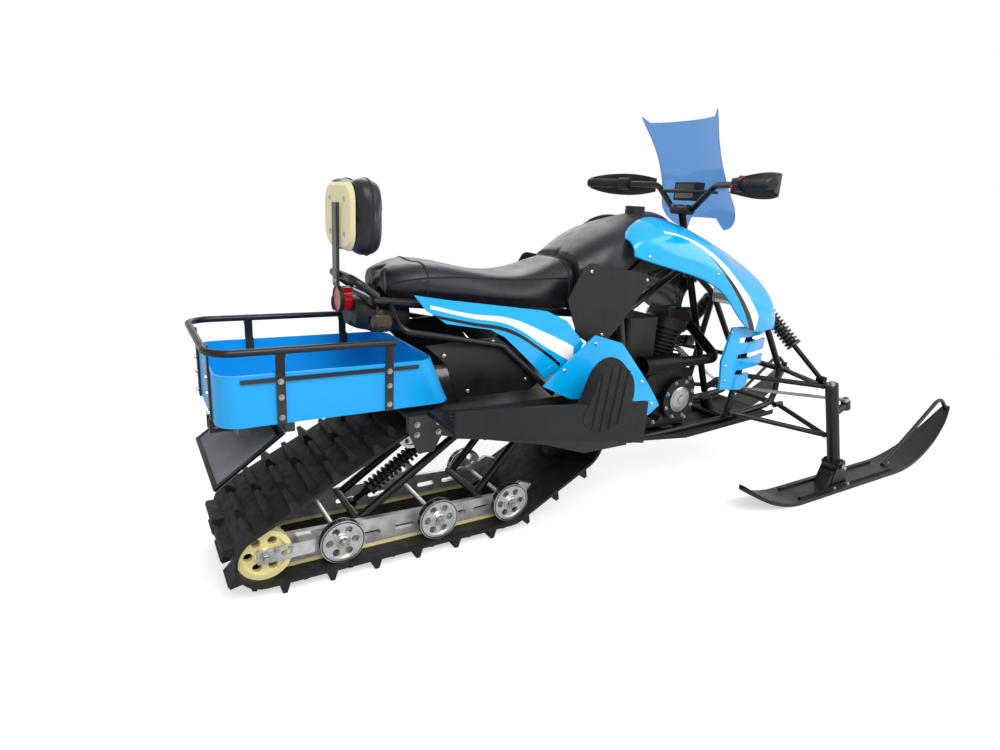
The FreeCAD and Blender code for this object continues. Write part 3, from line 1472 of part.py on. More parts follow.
def build_leg_panels(footboards):
    """The black side covers, and the knee panels that stand on the footboards."""
    thickness = size("shell_thickness")
    low = size("tunnel_top_height") + size("side_cover_rise")
    cover = curved_panel(SIDE_COVER_SHARES, COVER_SKIN_SHARES, "side_cover", low, thickness)
    add_shape("side_covers", both_sides(cover))
    low = size("footboard_front_height") - size("knee_panel_drop")
    knee = curved_panel(KNEE_PANEL_SHARES, KNEE_SKIN_SHARES, "knee_panel", low, thickness)
    add_shape("knee_panels", both_sides(largest(knee.cut(footboards.Shape))))


# Tail cover, grab rail, backrest and lamps
TAIL_SHARES = ((0, 0.72, 0.16, 0.96), (0.25, 1.0, 0.0, 1.0), (1, 0.94, 0.12, 0.92))
BACKREST_SHARES = ((0, 0.9), (0.2, 1.0), (0.65, 1.0), (0.9, 0.93), (1, 0.8))
SHELL_SHARES = ((0, 0.74), (1, 0.84))
grab_height = size("body_height") + size("grab_rise")


def grab_rail_foot():
    """Where the left end of the grab rail stands on the seat rail."""
    station = size("seat_rail_rear_station") + size("frame_tube_radius")
    height = seat_rail_height(station) + size("frame_tube_radius")
    return point(station, size("seat_rail_half_width"), height)


def build_tail_cover(seat_frame):
    station = size("tail_cover_station")
    low = seat_rail_height(station) - size("tail_cover_height")
    cover = hull_loft(TAIL_SHARES, station, size("tail_cover_length"), size("tail_cover_half_width"), low,
                      size("tail_cover_height"))
    add_shape("tail_cover", largest(cover.cut(seat_frame.Shape)))


def build_grab_rail(frame):
    """A U of tube round the seat's rear, with the flat post of the backrest joined to its middle."""
    radius = size("grab_tube_radius")
    half = size("seat_rail_half_width")
    rear = size("grab_rear_station")
    foot = grab_rail_foot()
    route = [foot, point(rear, half, grab_height), point(rear, -half, grab_height), point(foot.x, -half, foot.z)]
    thick = size("post_thickness")
    half_post = size("post_width") / 2
    post = Part.makeBox(thick, 2 * half_post, size("post_rise") - size("pad_rise"),
                        point(rear - radius - size("fit_gap") - thick, -half_post, grab_height - size("post_foot_drop")))
    bridge = Part.makeBox(radius + thick, half_post, radius, point(rear - radius - thick, -half_post / 2, grab_height))
    rail = largest(tube(route, radius, radius * 3).cut(frame.Shape))
    add_shape("grab_rail", join([rail, post, bridge]))


def build_backrest():
    """The post carries a moulded shell with the pad in front of it."""
    gap = size("fit_gap")
    shell_rear = size("grab_rear_station") - size("grab_tube_radius")
    low = size("body_height") + size("pad_rise")
    middle = low + size("pad_height") / 2
    shell_thick = size("backrest_shell_thickness")
    for label, start, depth, shares in (
            ("backrest_shell", shell_rear, shell_thick, SHELL_SHARES),
            ("backrest_pad", shell_rear + shell_thick + gap, size("pad_thickness"), BACKREST_SHARES)):
        sections = [rounded_rectangle(start + depth * along, size("pad_half_width") * wide,
                                      middle - size("pad_height") / 2 * wide, middle + size("pad_height") / 2 * wide,
                                      size("pad_corner_radius") * wide) for along, wide in shares]
        add_shape(label, loft(sections))


def build_lamps(tail_frame):
    """The tail lamp stands on the tail cover, and the signals on bent stalks under the seat rails."""
    height = grab_height - size("post_foot_drop") - size("fit_gap") - size("tail_lamp_radius")
    station = size("tail_lamp_station")
    front = size("tail_cover_station") - size("fit_gap")
    lens = rod(point(station, 0, height), point(front, 0, height), size("tail_lamp_radius"))
    add_shape("tail_lamp", largest(lens.cut(tail_frame.Shape)))
    reach = size("signal_half_width")
    stalk = size("stub_radius") / 2
    rail = along_seat_rail(grab_rail_foot().x, 1)
    height = rail.z - size("signal_drop")
    start = rail - point(0, 0, size("frame_tube_radius") + size("fit_gap"))
    arm = tube([start, point(rail.x, rail.y, height), point(rail.x, reach, height)], stalk, 2 * stalk)
    lens = rod(point(rail.x - size("signal_depth"), reach, height), point(rail.x + 2 * stalk, reach, height),
               size("signal_radius"))
    add_shape("turn_signals", both_sides(largest(join([arm, lens]).cut(tail_frame.Shape))))


# Front suspension
ARM_TUBE_SHARE = 0.8
ARM_BOSS_SHARE = 1.15


def build_arms():
    """Upper and lower wishbones, each of two tubes from sleeves on the frame to a boss by the spindle."""
    radius = size("frame_tube_radius") * ARM_TUBE_SHARE
    inner = size("frame_front_half_width") + size("frame_tube_radius") + size("fit_gap")
    boss = radius * ARM_BOSS_SHARE
    arms = []
    for inner_height, ball_height in ((frame_front_high, size("upper_ball_height")),
                                      (frame_front_low, size("lower_ball_height"))):
        ball = along_kingpin(ball_height, 1)
        end = ball - point(0, size("spindle_radius") + size("ball_clearance") + boss, 0)
        pieces = [Part.makeSphere(boss, end)]
        for station in (size("frame_front_station"), along_stay(inner_height, 1).x):
            start = point(station, inner + boss, inner_height)
            pieces.append(rod(start, end, radius))
            pieces.append(rod(start - point(boss * 2, 0, 0), start + point(boss * 2, 0, 0), boss))
        arms += both_sides(join(pieces)).Solids
    return add_shape("suspension_arms", Part.makeCompound(arms))


def build_front_shocks(arms, frame):
    """Each shock runs from the tower down to the outer end of its upper arm."""
    ball = along_kingpin(size("upper_ball_height"), 1)
    top = point(size("shock_tower_station"), size("frame_front_half_width"), size("shock_tower_height"))
    foot = ball - point(0, 2 * size("spindle_radius"), -size("spindle_radius"))
    shock = coil_shock(top, foot, size("front_shock_radius"), FRONT_SEAT_SHARES)
    left = largest(shock.cut(arms.Shape).cut(frame.Shape))
    add_shape("front_shocks", both_sides(left))


# Steering
SPINDLE_ARM_SHARE = 0.6
SPINDLE_BOSS_SHARE = 1.3
SPINDLE_EYE_SHARE = 0.75
SPINDLE_EYE_HALF_SHARE = 0.7


def steering_arm():
    """The arm from either steering axis to its ball joint, square to the axes."""
    return FreeCAD.Vector(math.cos(rake), 0, math.sin(rake)) * size("steering_arm_length")


def spindle_eye_half():
    return size("spindle_radius") * SPINDLE_EYE_HALF_SHARE


def stud_ends():
    """Where the studs leave the pitman arm, below, and the left spindle's arm, above."""
    inner = along_stem(size("stem_low_height")) + steering_arm()
    outer = along_kingpin(size("kingpin_height") + 2 * size("spindle_radius"), 1) + steering_arm()
    return inner - steering_axis * (size("pitman_thickness") / 2), outer + steering_axis * spindle_eye_half()


def stud(start, direction, eyes):
    """A joint's pin that stands out as far as the stack of tie rod eyes on it reaches."""
    reach = eyes * size("tie_eye_height") + (eyes - 1) * size("tie_eye_spacing") + 2 * size("ball_clearance")
    return rod(start - direction * size("pitman_thickness") / 2, start + direction * reach,
               size("tie_stud_radius"))


def build_spindles():
    radius = size("spindle_radius")
    top = along_kingpin(size("spindle_top_height"), 1)
    pivot = along_kingpin(size("ski_pivot_height"), 1)
    inner = point(0, size("saddle_half_width") - size("saddle_plate") - size("fit_gap"), 0)
    arm_root = along_kingpin(size("kingpin_height") + 2 * radius, 1)
    arm_end = arm_root + steering_arm()
    half_eye = steering_axis * spindle_eye_half()
    _, stud_start = stud_ends()
    boss = rod(pivot - inner, pivot + inner, radius * SPINDLE_BOSS_SHARE)
    arm = rod(arm_root, arm_end, radius * SPINDLE_ARM_SHARE)
    eye = rod(arm_end - half_eye, arm_end + half_eye, radius * SPINDLE_EYE_SHARE)
    left = join([rod(pivot, top, radius), boss, arm, eye, stud(stud_start, steering_axis, 1)])
    left = left.cut(rod(pivot - inner * 2, pivot + inner * 2, size("ski_bolt_radius") + size("fit_gap")))
    add_shape("spindle_left", left)
    add_shape("spindle_right", mirrored(left))


def build_tie_rods():
    """Both inner eyes hang on the pitman's one pin, the right under the left, and the outer ones lie on the arms."""
    inner, outer = stud_ends()
    tall = size("tie_eye_height")
    half = steering_axis * (tall / 2)
    clear = size("ball_clearance")
    outer_middle = outer + steering_axis * clear + half
    rods = []
    for drop in (0, tall + size("tie_eye_spacing")):
        middles = (inner - steering_axis * (clear + drop) - half, outer_middle)
        eyes = [rod(middle - half, middle + half, size("tie_eye_radius")) for middle in middles]
        bores = [rod(middle - half * 3, middle + half * 3, size("tie_stud_radius") + clear) for middle in middles]
        bar = rod(middles[0], middles[1], size("tie_rod_radius"))
        rods.append(join([bar] + eyes).cut(Part.makeCompound(bores)))
    add_shape("tie_rod_left", rods[0])
    add_shape("tie_rod_right", mirrored(rods[1]))


# Skis
FLAT_REAR_SHARE = 0.42
LOOP_CROWN_SHARE = 0.2


def upturn_radius(end, start, rise):
    """Radius of the arc that leaves the ground level at start and rises to the end."""
    run = end - start
    return (run * run + rise * rise) / (2 * rise)


def upturn_end(end, start, rise, lift):
    radius = upturn_radius(end, start, rise)
    centre = point(start, 0, radius)
    return centre + (point(end, 0, rise) - centre) * ((radius - lift) / radius)


def upturn(end, start, rise, lift):
    """The arc of a ski's turned-up end, at a height above its lower face."""
    radius = upturn_radius(end, start, rise)
    centre = point(start, 0, radius)
    low = point(start, 0, lift)
    high = upturn_end(end, start, rise, lift)
    middle = centre + ((low + high) / 2 - centre).normalize() * (radius - lift)
    return Part.Arc(low, middle, high).toShape()


def ski_runner(pivot):
    """A flat runner whose tail and tip bend up along arcs, rounded at both ends in plan."""
    rear = pivot.x - size("ski_rear_reach")
    front = pivot.x + size("ski_front_reach")
    flat = size("ski_flat_length")
    flat_rear = pivot.x - flat * FLAT_REAR_SHARE
    flat_front = flat_rear + flat
    half = size("ski_half_width")
    edges = []
    tail_ends = []
    tip_ends = []
    for lift in (0, size("ski_thickness")):
        edges.append(upturn(rear, flat_rear, size("ski_tail_rise"), lift))
        edges.append(Part.makeLine(point(flat_rear, 0, lift), point(flat_front, 0, lift)))
        edges.append(upturn(front, flat_front, size("ski_tip_rise"), lift))
        tail_ends.append(upturn_end(rear, flat_rear, size("ski_tail_rise"), lift))
        tip_ends.append(upturn_end(front, flat_front, size("ski_tip_rise"), lift))
    edges += [Part.makeLine(*tail_ends), Part.makeLine(*tip_ends)]
    side = Part.Face(Part.Wire(Part.__sortEdges__(edges)))
    side.translate(point(0, pivot.y - half, 0))
    profile = side.extrude(point(0, 2 * half, 0))
    tall = size("ski_tip_rise") + size("ski_tail_rise")
    plan = [Part.makeBox(flat, 2 * half, 3 * tall, point(flat_rear, pivot.y - half, -tall))]
    for middle, reach in ((flat_rear, flat_rear - rear), (flat_front, front - flat_front)):
        disc = Part.Face(Part.Wire(Part.Ellipse(point(0, 0, 0), reach, half).toShape()))
        disc.translate(point(middle, pivot.y, -tall))
        plan.append(disc.extrude(point(0, 0, 3 * tall)))
    ribs = [Part.makeBox(flat, size("ski_rib_width"), size("ski_rib_height") + size("ski_thickness") / 2,
                         point(flat_rear, pivot.y + side_sign * size("ski_rib_spacing") - size("ski_rib_width") / 2,
                               size("ski_thickness") / 2)) for side_sign in SIDES]
    return join([profile.common(join(plan))] + ribs)


def build_skis():
    """Each ski: its runner with two ribs, a saddle with the pivot bolt, and a loop handle over the tip."""
    pivot = along_kingpin(size("ski_pivot_height"), 1)
    pieces = [ski_runner(pivot)]
    thick = size("saddle_plate")
    half_length = size("saddle_length") / 2
    for plate_side in SIDES:
        middle = pivot.y + plate_side * (size("saddle_half_width") - thick / 2)
        outline = [(pivot.x - half_length, size("ski_thickness") / 2),
                   (pivot.x + half_length, size("ski_thickness") / 2),
                   (pivot.x + half_length / 3, pivot.z + size("spindle_radius")),
                   (pivot.x - half_length / 3, pivot.z + size("spindle_radius"))]
        pieces.append(plate(outline, middle - thick / 2, thick))
    reach = point(0, size("saddle_half_width") + thick, 0)
    pieces.append(rod(pivot - reach, pivot + reach, size("ski_bolt_radius")))
    loop_radius = size("ski_loop_radius")
    front = pivot.x + size("ski_front_reach")
    rise = size("ski_tip_rise")
    length = size("ski_loop_length")
    tip = point(front - 3 * loop_radius, pivot.y, rise)
    foot = point(front - length, pivot.y, size("ski_thickness"))
    top = point(front - length * LOOP_CROWN_SHARE, pivot.y, rise + size("ski_loop_height"))
    pieces.append(tube([foot, top, tip], loop_radius, size("ski_half_width")))
    left = join(pieces)
    add_shape("ski_left", left)
    add_shape("ski_right", mirrored(left))


# Steering stem, handlebar and windshield
SCREEN_SIDE_SHARES = ((0.94, 0.93), (0.84, 0.62), (0.97, 0.28))
SCREEN_FOOT_SHARES = ((0.97, 0.28), (0.86, 0.08), (0.5, 0.0))
SCREEN_TIP_SHARES = ((0.5, 0.0), (0.34, 0.1))
SCREEN_HORN_SHARES = ((0.86, 0.985), (1.0, 1.05), (0.94, 0.93))
SCREEN_CREST_SHARE = 0.955
BRACE_SHARE = 0.25
GUARD_SECTION_SHARES = ((-0.06, 0.12, 0.5), (0.02, 0.62, 0.74), (0.35, 1.0, 1.0), (0.72, 1.0, 0.92),
                        (1.05, 0.66, 0.6))


def build_steering_stem():
    low = along_stem(size("stem_low_height"))
    high = along_stem(stem_height)
    stem = rod(low - steering_axis * size("pitman_thickness"), high, size("stem_radius"))
    end = low + steering_arm()
    slab_axis = steering_axis * (size("pitman_thickness") / 2)
    slab = rod(low - slab_axis, low + slab_axis, size("steering_arm_length") * 2)
    pitman = rod(low, end, size("stem_radius")).common(slab)
    boss = rod(end - slab_axis, end + slab_axis, size("tie_eye_radius"))
    inner, _ = stud_ends()
    pieces = [stem, pitman, boss, stud(inner, -steering_axis, 2)]
    add_shape("steering_stem", join(pieces))


def bar_route():
    """Grip, bend, clamp, bend, grip: the handlebar's corners from left to right."""
    middle = along_stem(stem_height)
    high = point(middle.x, 0, bar_height)
    low = point(middle.x, 0, stem_height + size("bar_radius"))
    reach = point(-size("bar_sweep"), size("bar_half_width"), 0)
    left = [high + reach, high + point(0, size("bar_bend_half_width"), 0),
            low + point(0, size("bar_centre_half_width"), 0)]
    return left + [point(corner.x, -corner.y, corner.z) for corner in reversed(left)]


def bar_end(side):
    """The bar's outer end, the direction from it inward along the bar, and forward, square to that."""
    outer, bend = bar_route()[:2]
    outer = point(outer.x, side * outer.y, outer.z)
    bend = point(bend.x, side * bend.y, bend.z)
    inward = (bend - outer).normalize()
    ahead = FreeCAD.Vector(abs(inward.y), inward.x * side, 0)
    return outer, inward, ahead


def screen_directions():
    lean = math.radians(size("screen_lean"))
    return FreeCAD.Vector(-math.sin(lean), 0, math.cos(lean)), FreeCAD.Vector(math.cos(lean), 0, math.sin(lean))


def screen_round(inset):
    """The drum whose face the windshield follows, from below its foot to above its top."""
    up, ahead = screen_directions()
    half = size("screen_half_width")
    bulge = size("screen_bulge")
    radius = (half * half + bulge * bulge) / (2 * bulge)
    foot = point(size("screen_low_station"), 0, bar_height - size("screen_drop"))
    tall = size("screen_drop") + size("screen_rise")
    return rod(foot - ahead * radius - up * tall, foot - ahead * radius + up * (2 * tall), radius - inset)


def build_windshield():
    """A screen rolled to a drum's curve, with hollow sides, a horn at each top corner and two lower wings."""
    up, ahead = screen_directions()
    foot = point(size("screen_low_station"), 0, bar_height - size("screen_drop"))
    slope = (size("screen_drop") + size("screen_rise")) / math.cos(math.radians(size("screen_lean")))

    def place(share, side):
        across, rise = share
        return foot + point(0, side * across * size("screen_half_width"), 0) + up * (slope * rise)

    edges = [Part.Arc(place(SCREEN_HORN_SHARES[0], 1), place((0, SCREEN_CREST_SHARE), 1),
                      place(SCREEN_HORN_SHARES[0], -1)).toShape()]
    for side in SIDES:
        for shares in (SCREEN_SIDE_SHARES, SCREEN_FOOT_SHARES):
            edges.append(Part.Arc(*[place(share, side) for share in shares]).toShape())
        for shares in (SCREEN_HORN_SHARES, SCREEN_TIP_SHARES):
            for start, end in zip(shares, shares[1:]):
                edges.append(Part.makeLine(place(start, side), place(end, side)))
    edges.append(Part.makeLine(place(SCREEN_TIP_SHARES[-1], 1), place(SCREEN_TIP_SHARES[-1], -1)))
    face = Part.Face(Part.Wire(Part.__sortEdges__(edges)))
    bulge = size("screen_bulge")
    face.translate(ahead * (-2 * bulge))
    trim = face.extrude(ahead * (3 * bulge))
    sheet_round = screen_round(0).cut(screen_round(size("screen_thickness")))
    return add_shape("windshield", largest(sheet_round.common(trim)))


def build_handlebar():
    """The bar, its brace, the clamp on the stem and two stays to the windshield."""
    radius = size("bar_radius")
    route = bar_route()
    centre = (route[2] + route[3]) / 2
    bend, low_corner = route[1], route[2]
    brace_place = bend + (low_corner - bend) * BRACE_SHARE
    pieces = [tube(route, radius, radius * 5),
              cross_rod(brace_place.x, brace_place.z, brace_place.y, size("brace_radius")),
              cross_rod(centre.x, centre.z, size("bar_centre_half_width"), radius + size("brace_radius"))]
    far = size("screen_low_station") + size("screen_half_width")
    for side in SIDES:
        start = point(brace_place.x, side * size("bar_centre_half_width") * 2, brace_place.z)
        pieces.append(rod(start, point(far, start.y, start.z), radius / 2)
                      .common(screen_round(size("screen_thickness") + size("fit_gap"))))
    stem_space = rod(along_stem(size("stem_low_height")), along_stem(stem_height),
                     size("stem_radius") + size("fit_gap"))
    handlebar = add_shape("handlebar", largest(join(pieces).cut(stem_space)))
    pod_low = brace_place.z - size("pod_height") / 2
    pod = Part.makeBox(size("pod_length"), 2 * size("pod_half_width"), size("pod_height"),
                       point(brace_place.x, -size("pod_half_width"), pod_low))
    crosswise = [edge for edge in pod.Edges if abs(edge.tangentAt(edge.FirstParameter).y) > HEAD_SHARE]
    pod = pod.makeFillet(size("brace_radius"), crosswise)
    add_shape("instrument_pod", largest(pod.cut(handlebar.Shape)))
    return handlebar


def build_hand_gear(handlebar):
    """Grips, switch housings with levers, and the shields in front of them, on both ends of the bar."""
    radius = size("bar_radius")
    gap = size("fit_gap")
    grips = []
    controls = []
    guards = []
    for side in SIDES:
        outer, inward, ahead = bar_end(side)
        grip_end = outer + inward * size("grip_length")
        bore = rod(outer, outer + inward * (2 * size("grip_length")), radius + gap)
        grips.append(rod(outer, grip_end, size("grip_radius")).cut(bore))
        housing_start = grip_end + inward * gap
        housing_end = housing_start + inward * size("control_length")
        housing = rod(housing_start, housing_end, size("control_radius"))
        middle = (housing_start + housing_end) / 2
        reach = ahead * size("lever_reach")
        lever = tube([middle, middle + reach, outer + inward * size("control_length") / 2 + reach],
                     size("lever_radius"), size("control_radius"))
        controls.append(join([housing, lever]).cut(bore))
        sections = []
        up = point(0, 0, size("guard_height") / 2)
        skin = size("guard_thickness") / 2
        for along, out, tall in GUARD_SECTION_SHARES:
            place = outer + inward * (size("grip_length") * along * 2) + ahead * (size("guard_reach") * out)
            direction = ahead if along > 0 else -inward
            corners = [place + up * (tall * sign_up) + direction * (skin * sign_out)
                       for sign_up, sign_out in ((1, 1), (1, -1), (-1, -1), (-1, 1), (1, 1))]
            sections.append(Part.makePolygon(corners))
        shield = Part.makeLoft(sections, True, False)
        stay_start = outer + inward * (size("grip_length") * GUARD_SECTION_SHARES[-2][0] * 2)
        stay = rod(stay_start + ahead * (radius + gap), stay_start + ahead * size("guard_reach"),
                   size("lever_radius"))
        plug = rod(outer - inward * (gap + size("grip_radius")), outer - inward * gap, size("grip_radius"))
        guards.append(join([shield, stay, plug]))
    add_shape("hand_grips", Part.makeCompound(grips))
    hand_controls = add_shape("hand_controls", Part.makeCompound(controls))
    guards = [largest(guard.cut(handlebar.Shape).cut(hand_controls.Shape)) for guard in guards]
    add_shape("hand_guards", Part.makeCompound(guards))


def build_all():
    build_track_belt()
    build_track_wheels()
    build_slide_rails()
    build_skid_arms()
    build_skid_shock()
    build_tunnel()
    build_hangers()
    build_rear_rack()
    footboards = build_footboards(build_foot_guards())
    build_cargo_tray()
    build_tray_rails()
    build_snow_flap()
    build_tow_hitch()
    frame = build_main_frame(build_rib_fairings())
    seat_frame = build_seat_frame(frame, build_side_panels())
    build_belly_pan(frame)
    engine = build_engine()
    build_exhaust(engine)
    build_air_box(engine)
    build_chain_case()
    build_seat()
    shrouds = build_shrouds()
    build_tank(shrouds, frame, seat_frame)
    build_nose(shrouds, frame)
    build_leg_panels(footboards)
    build_tail_cover(seat_frame)
    build_grab_rail(seat_frame)
    build_backrest()
    build_lamps(seat_frame)
    build_front_shocks(build_arms(), frame)
    build_spindles()
    build_tie_rods()
    build_skis()
    build_steering_stem()
    build_windshield()
    build_hand_gear(build_handlebar())


def export_all():
    doc.recompute()
    os.makedirs("parts", exist_ok=True)
    for sub_part in SUB_PARTS:
        if "Invalid" in sub_part.State or "Error" in sub_part.State:
            raise RuntimeError(f"{sub_part.Label} did not recompute: {sub_part.State}")
        if sub_part.Shape.isNull() or not sub_part.Shape.isValid():
            raise RuntimeError(f"{sub_part.Label} has no valid shape")
        sub_part.Shape.exportStep(f"parts/{sub_part.Label}.step")

build_all()
export_all()
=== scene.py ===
"""Looks of a light utility snowmobile, dressed on its CAD frame. Metres; +X forward, +Y left, +Z up."""

import json
import logging
import math
from dataclasses import dataclass, field
from enum import Enum
from typing import Sequence

import bmesh
import bpy
from mathutils import Matrix, Vector
from mathutils.bvhtree import BVHTree

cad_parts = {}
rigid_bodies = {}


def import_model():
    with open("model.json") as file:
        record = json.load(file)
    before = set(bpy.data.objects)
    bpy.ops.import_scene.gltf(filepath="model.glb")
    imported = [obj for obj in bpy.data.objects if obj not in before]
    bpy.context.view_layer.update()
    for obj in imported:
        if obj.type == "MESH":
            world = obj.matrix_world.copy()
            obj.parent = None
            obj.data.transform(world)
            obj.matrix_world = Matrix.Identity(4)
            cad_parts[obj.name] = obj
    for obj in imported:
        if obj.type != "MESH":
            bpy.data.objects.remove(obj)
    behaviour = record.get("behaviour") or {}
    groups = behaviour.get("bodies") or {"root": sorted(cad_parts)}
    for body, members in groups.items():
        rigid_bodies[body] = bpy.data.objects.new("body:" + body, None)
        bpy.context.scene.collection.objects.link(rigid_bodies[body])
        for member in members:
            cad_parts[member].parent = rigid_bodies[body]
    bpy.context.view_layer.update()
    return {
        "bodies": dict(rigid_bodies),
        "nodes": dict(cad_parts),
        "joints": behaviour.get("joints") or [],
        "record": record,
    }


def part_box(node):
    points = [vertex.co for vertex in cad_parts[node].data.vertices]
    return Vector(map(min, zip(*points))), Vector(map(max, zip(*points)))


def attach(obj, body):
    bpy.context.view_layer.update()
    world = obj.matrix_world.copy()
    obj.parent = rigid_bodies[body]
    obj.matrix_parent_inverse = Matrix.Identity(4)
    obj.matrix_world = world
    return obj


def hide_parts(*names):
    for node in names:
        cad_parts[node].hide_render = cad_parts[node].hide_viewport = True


logging.basicConfig(level=logging.INFO, format="%(message)s")
log = logging.getLogger("snowmobile")

# Half the machine's length in metres; the frame's origin is at its middle.
HALF_LENGTH = 1.601664
MM = 0.001
# The kingpins, in mm and degrees: they lean back, and the skis hang at their feet.
KINGPIN_STATION, KINGPIN_HEIGHT, KINGPIN_TOP, KINGPIN_RAKE = 2230, 270, 448, 21.0
SKI_ACROSS = 432
AHEAD, LEFT, UP = Vector((1, 0, 0)), Vector((0, 1, 0)), Vector((0, 0, 1))
BACK, DOWN = Vector((-1, 0, 0)), Vector((0, 0, -1))


def place(station: float, across: float, height: float) -> Vector:
    """A point from millimetres: station ahead of the cargo rail's rear end, across to the left, height."""
    return Vector((station * MM - HALF_LENGTH, across * MM, height * MM))


def outward(side: int) -> Vector:
    """Straight out of one side of the machine: one for left, minus one for right."""
    return Vector((0, side, 0))


def kingpin_station(height: float) -> float:
    """The station in mm of a kingpin's axis at a height."""
    return KINGPIN_STATION + (KINGPIN_HEIGHT - height) * math.tan(math.radians(KINGPIN_RAKE))


def linear(colour: str) -> tuple[float, float, float, float]:
    """Turns an sRGB hex colour to the linear values that a shader takes.

    Args:
        colour: six hex digits after a hash mark.

    Returns:
        Linear red, green, blue and an alpha of one.
    """
    parts = [int(colour[index:index + 2], 16) / 255 for index in (1, 3, 5)]
    return (*[part / 12.92 if part <= 0.04045 else ((part + 0.055) / 1.055) ** 2.4 for part in parts], 1.0)


def add_node(tree: bpy.types.NodeTree, kind: str, settings: dict | None = None,
             links: dict | None = None) -> bpy.types.Node:
    """Adds one shader node.

    Args:
        tree: the material's node tree.
        kind: the node's Blender type.
        settings: values by socket name or number, or by the node's own attribute.
        links: sockets of other nodes that feed this node's sockets.

    Returns:
        The new node.
    """
    node = tree.nodes.new(kind)
    for key, value in (settings or {}).items():
        if isinstance(key, int) or key in node.inputs:
            node.inputs[key].default_value = value
        else:
            setattr(node, key, value)
    for key, socket in (links or {}).items():
        tree.links.new(socket, node.inputs[key])
    return node


# Finishes

@dataclass(frozen=True)
class Finish:
    """A surface: the name of its material, its colour and how rough it is."""

    name: str
    colour: str
    roughness: float = 0.5

    def material(self) -> bpy.types.Material:
        """Makes the material once and gives the same one after that.

        Returns:
            The Blender material.
        """
        known = bpy.data.materials.get(self.name)
        if known is not None:
            return known
        made = bpy.data.materials.new(self.name)
        made.use_nodes = True
        made.diffuse_color = linear(self.colour)
        tree = made.node_tree
        shader = tree.nodes["Principled BSDF"]
        shader.inputs["Base Color"].default_value = linear(self.colour)
        shader.inputs["Roughness"].default_value = self.roughness
        where = add_node(tree, "ShaderNodeTexCoord").outputs["Object"]
        self.dress(tree, shader, where)
        return made

    def dress(self, tree: bpy.types.NodeTree, shader: bpy.types.Node, where: bpy.types.NodeSocket) -> None:
        """Adds what the finish has beyond a colour; each finish has its own."""

    def tones(self, tree: bpy.types.NodeTree, where: bpy.types.NodeSocket, other: str, size_mm: float,
              share: float) -> bpy.types.NodeSocket:
        """Mixes the colour with a second tone in soft patches.

        Args:
            tree: the material's node tree.
            where: the place on the surface.
            other: the second tone.
            size_mm: the size of a patch.
            share: how strong the second tone gets.

        Returns:
            The mixed colour.
        """
        patches = add_node(tree, "ShaderNodeTexNoise", {"Scale": 1000 / size_mm, "Detail": 4.0}, {"Vector": where})
        spread = add_node(tree, "ShaderNodeMapRange", {1: 0.35, 2: 0.7, 3: 0.0, 4: share},
                          {0: patches.outputs["Fac"]})
        mix = add_node(tree, "ShaderNodeMix", {"data_type": "RGBA"}, {0: spread.outputs[0]})
        mix.inputs[6].default_value = linear(self.colour)
        mix.inputs[7].default_value = linear(other)
        return mix.outputs[2]

    def uneven(self, tree: bpy.types.NodeTree, where: bpy.types.NodeSocket, shader: bpy.types.Node,
               size_mm: float, change: float) -> None:
        """Makes the roughness differ a little from place to place.

        Args:
            tree: the material's node tree.
            where: the place on the surface.
            shader: the surface shader.
            size_mm: the size of a patch.
            change: how far the roughness goes each way.
        """
        noise = add_node(tree, "ShaderNodeTexNoise", {"Scale": 1000 / size_mm, "Detail": 5.0}, {"Vector": where})
        spread = add_node(tree, "ShaderNodeMapRange", {1: 0.3, 2: 0.7, 3: self.roughness - change,
                                                       4: self.roughness + change}, {0: noise.outputs["Fac"]})
        tree.links.new(spread.outputs[0], shader.inputs["Roughness"])

    def relief(self, tree: bpy.types.NodeTree, height: bpy.types.NodeSocket, shader: bpy.types.Node,
               depth_mm: float, strength: float = 1.0) -> None:
        """Feeds a height pattern to the shader as fine relief.

        Args:
            tree: the material's node tree.
            height: the pattern, from zero to one.
            shader: the surface shader.
            depth_mm: how deep the pattern is.
            strength: how much of it shows.
        """
        bump = add_node(tree, "ShaderNodeBump", {"Distance": depth_mm * MM, "Strength": strength},
                        {"Height": height})
        tree.links.new(bump.outputs[0], shader.inputs["Normal"])


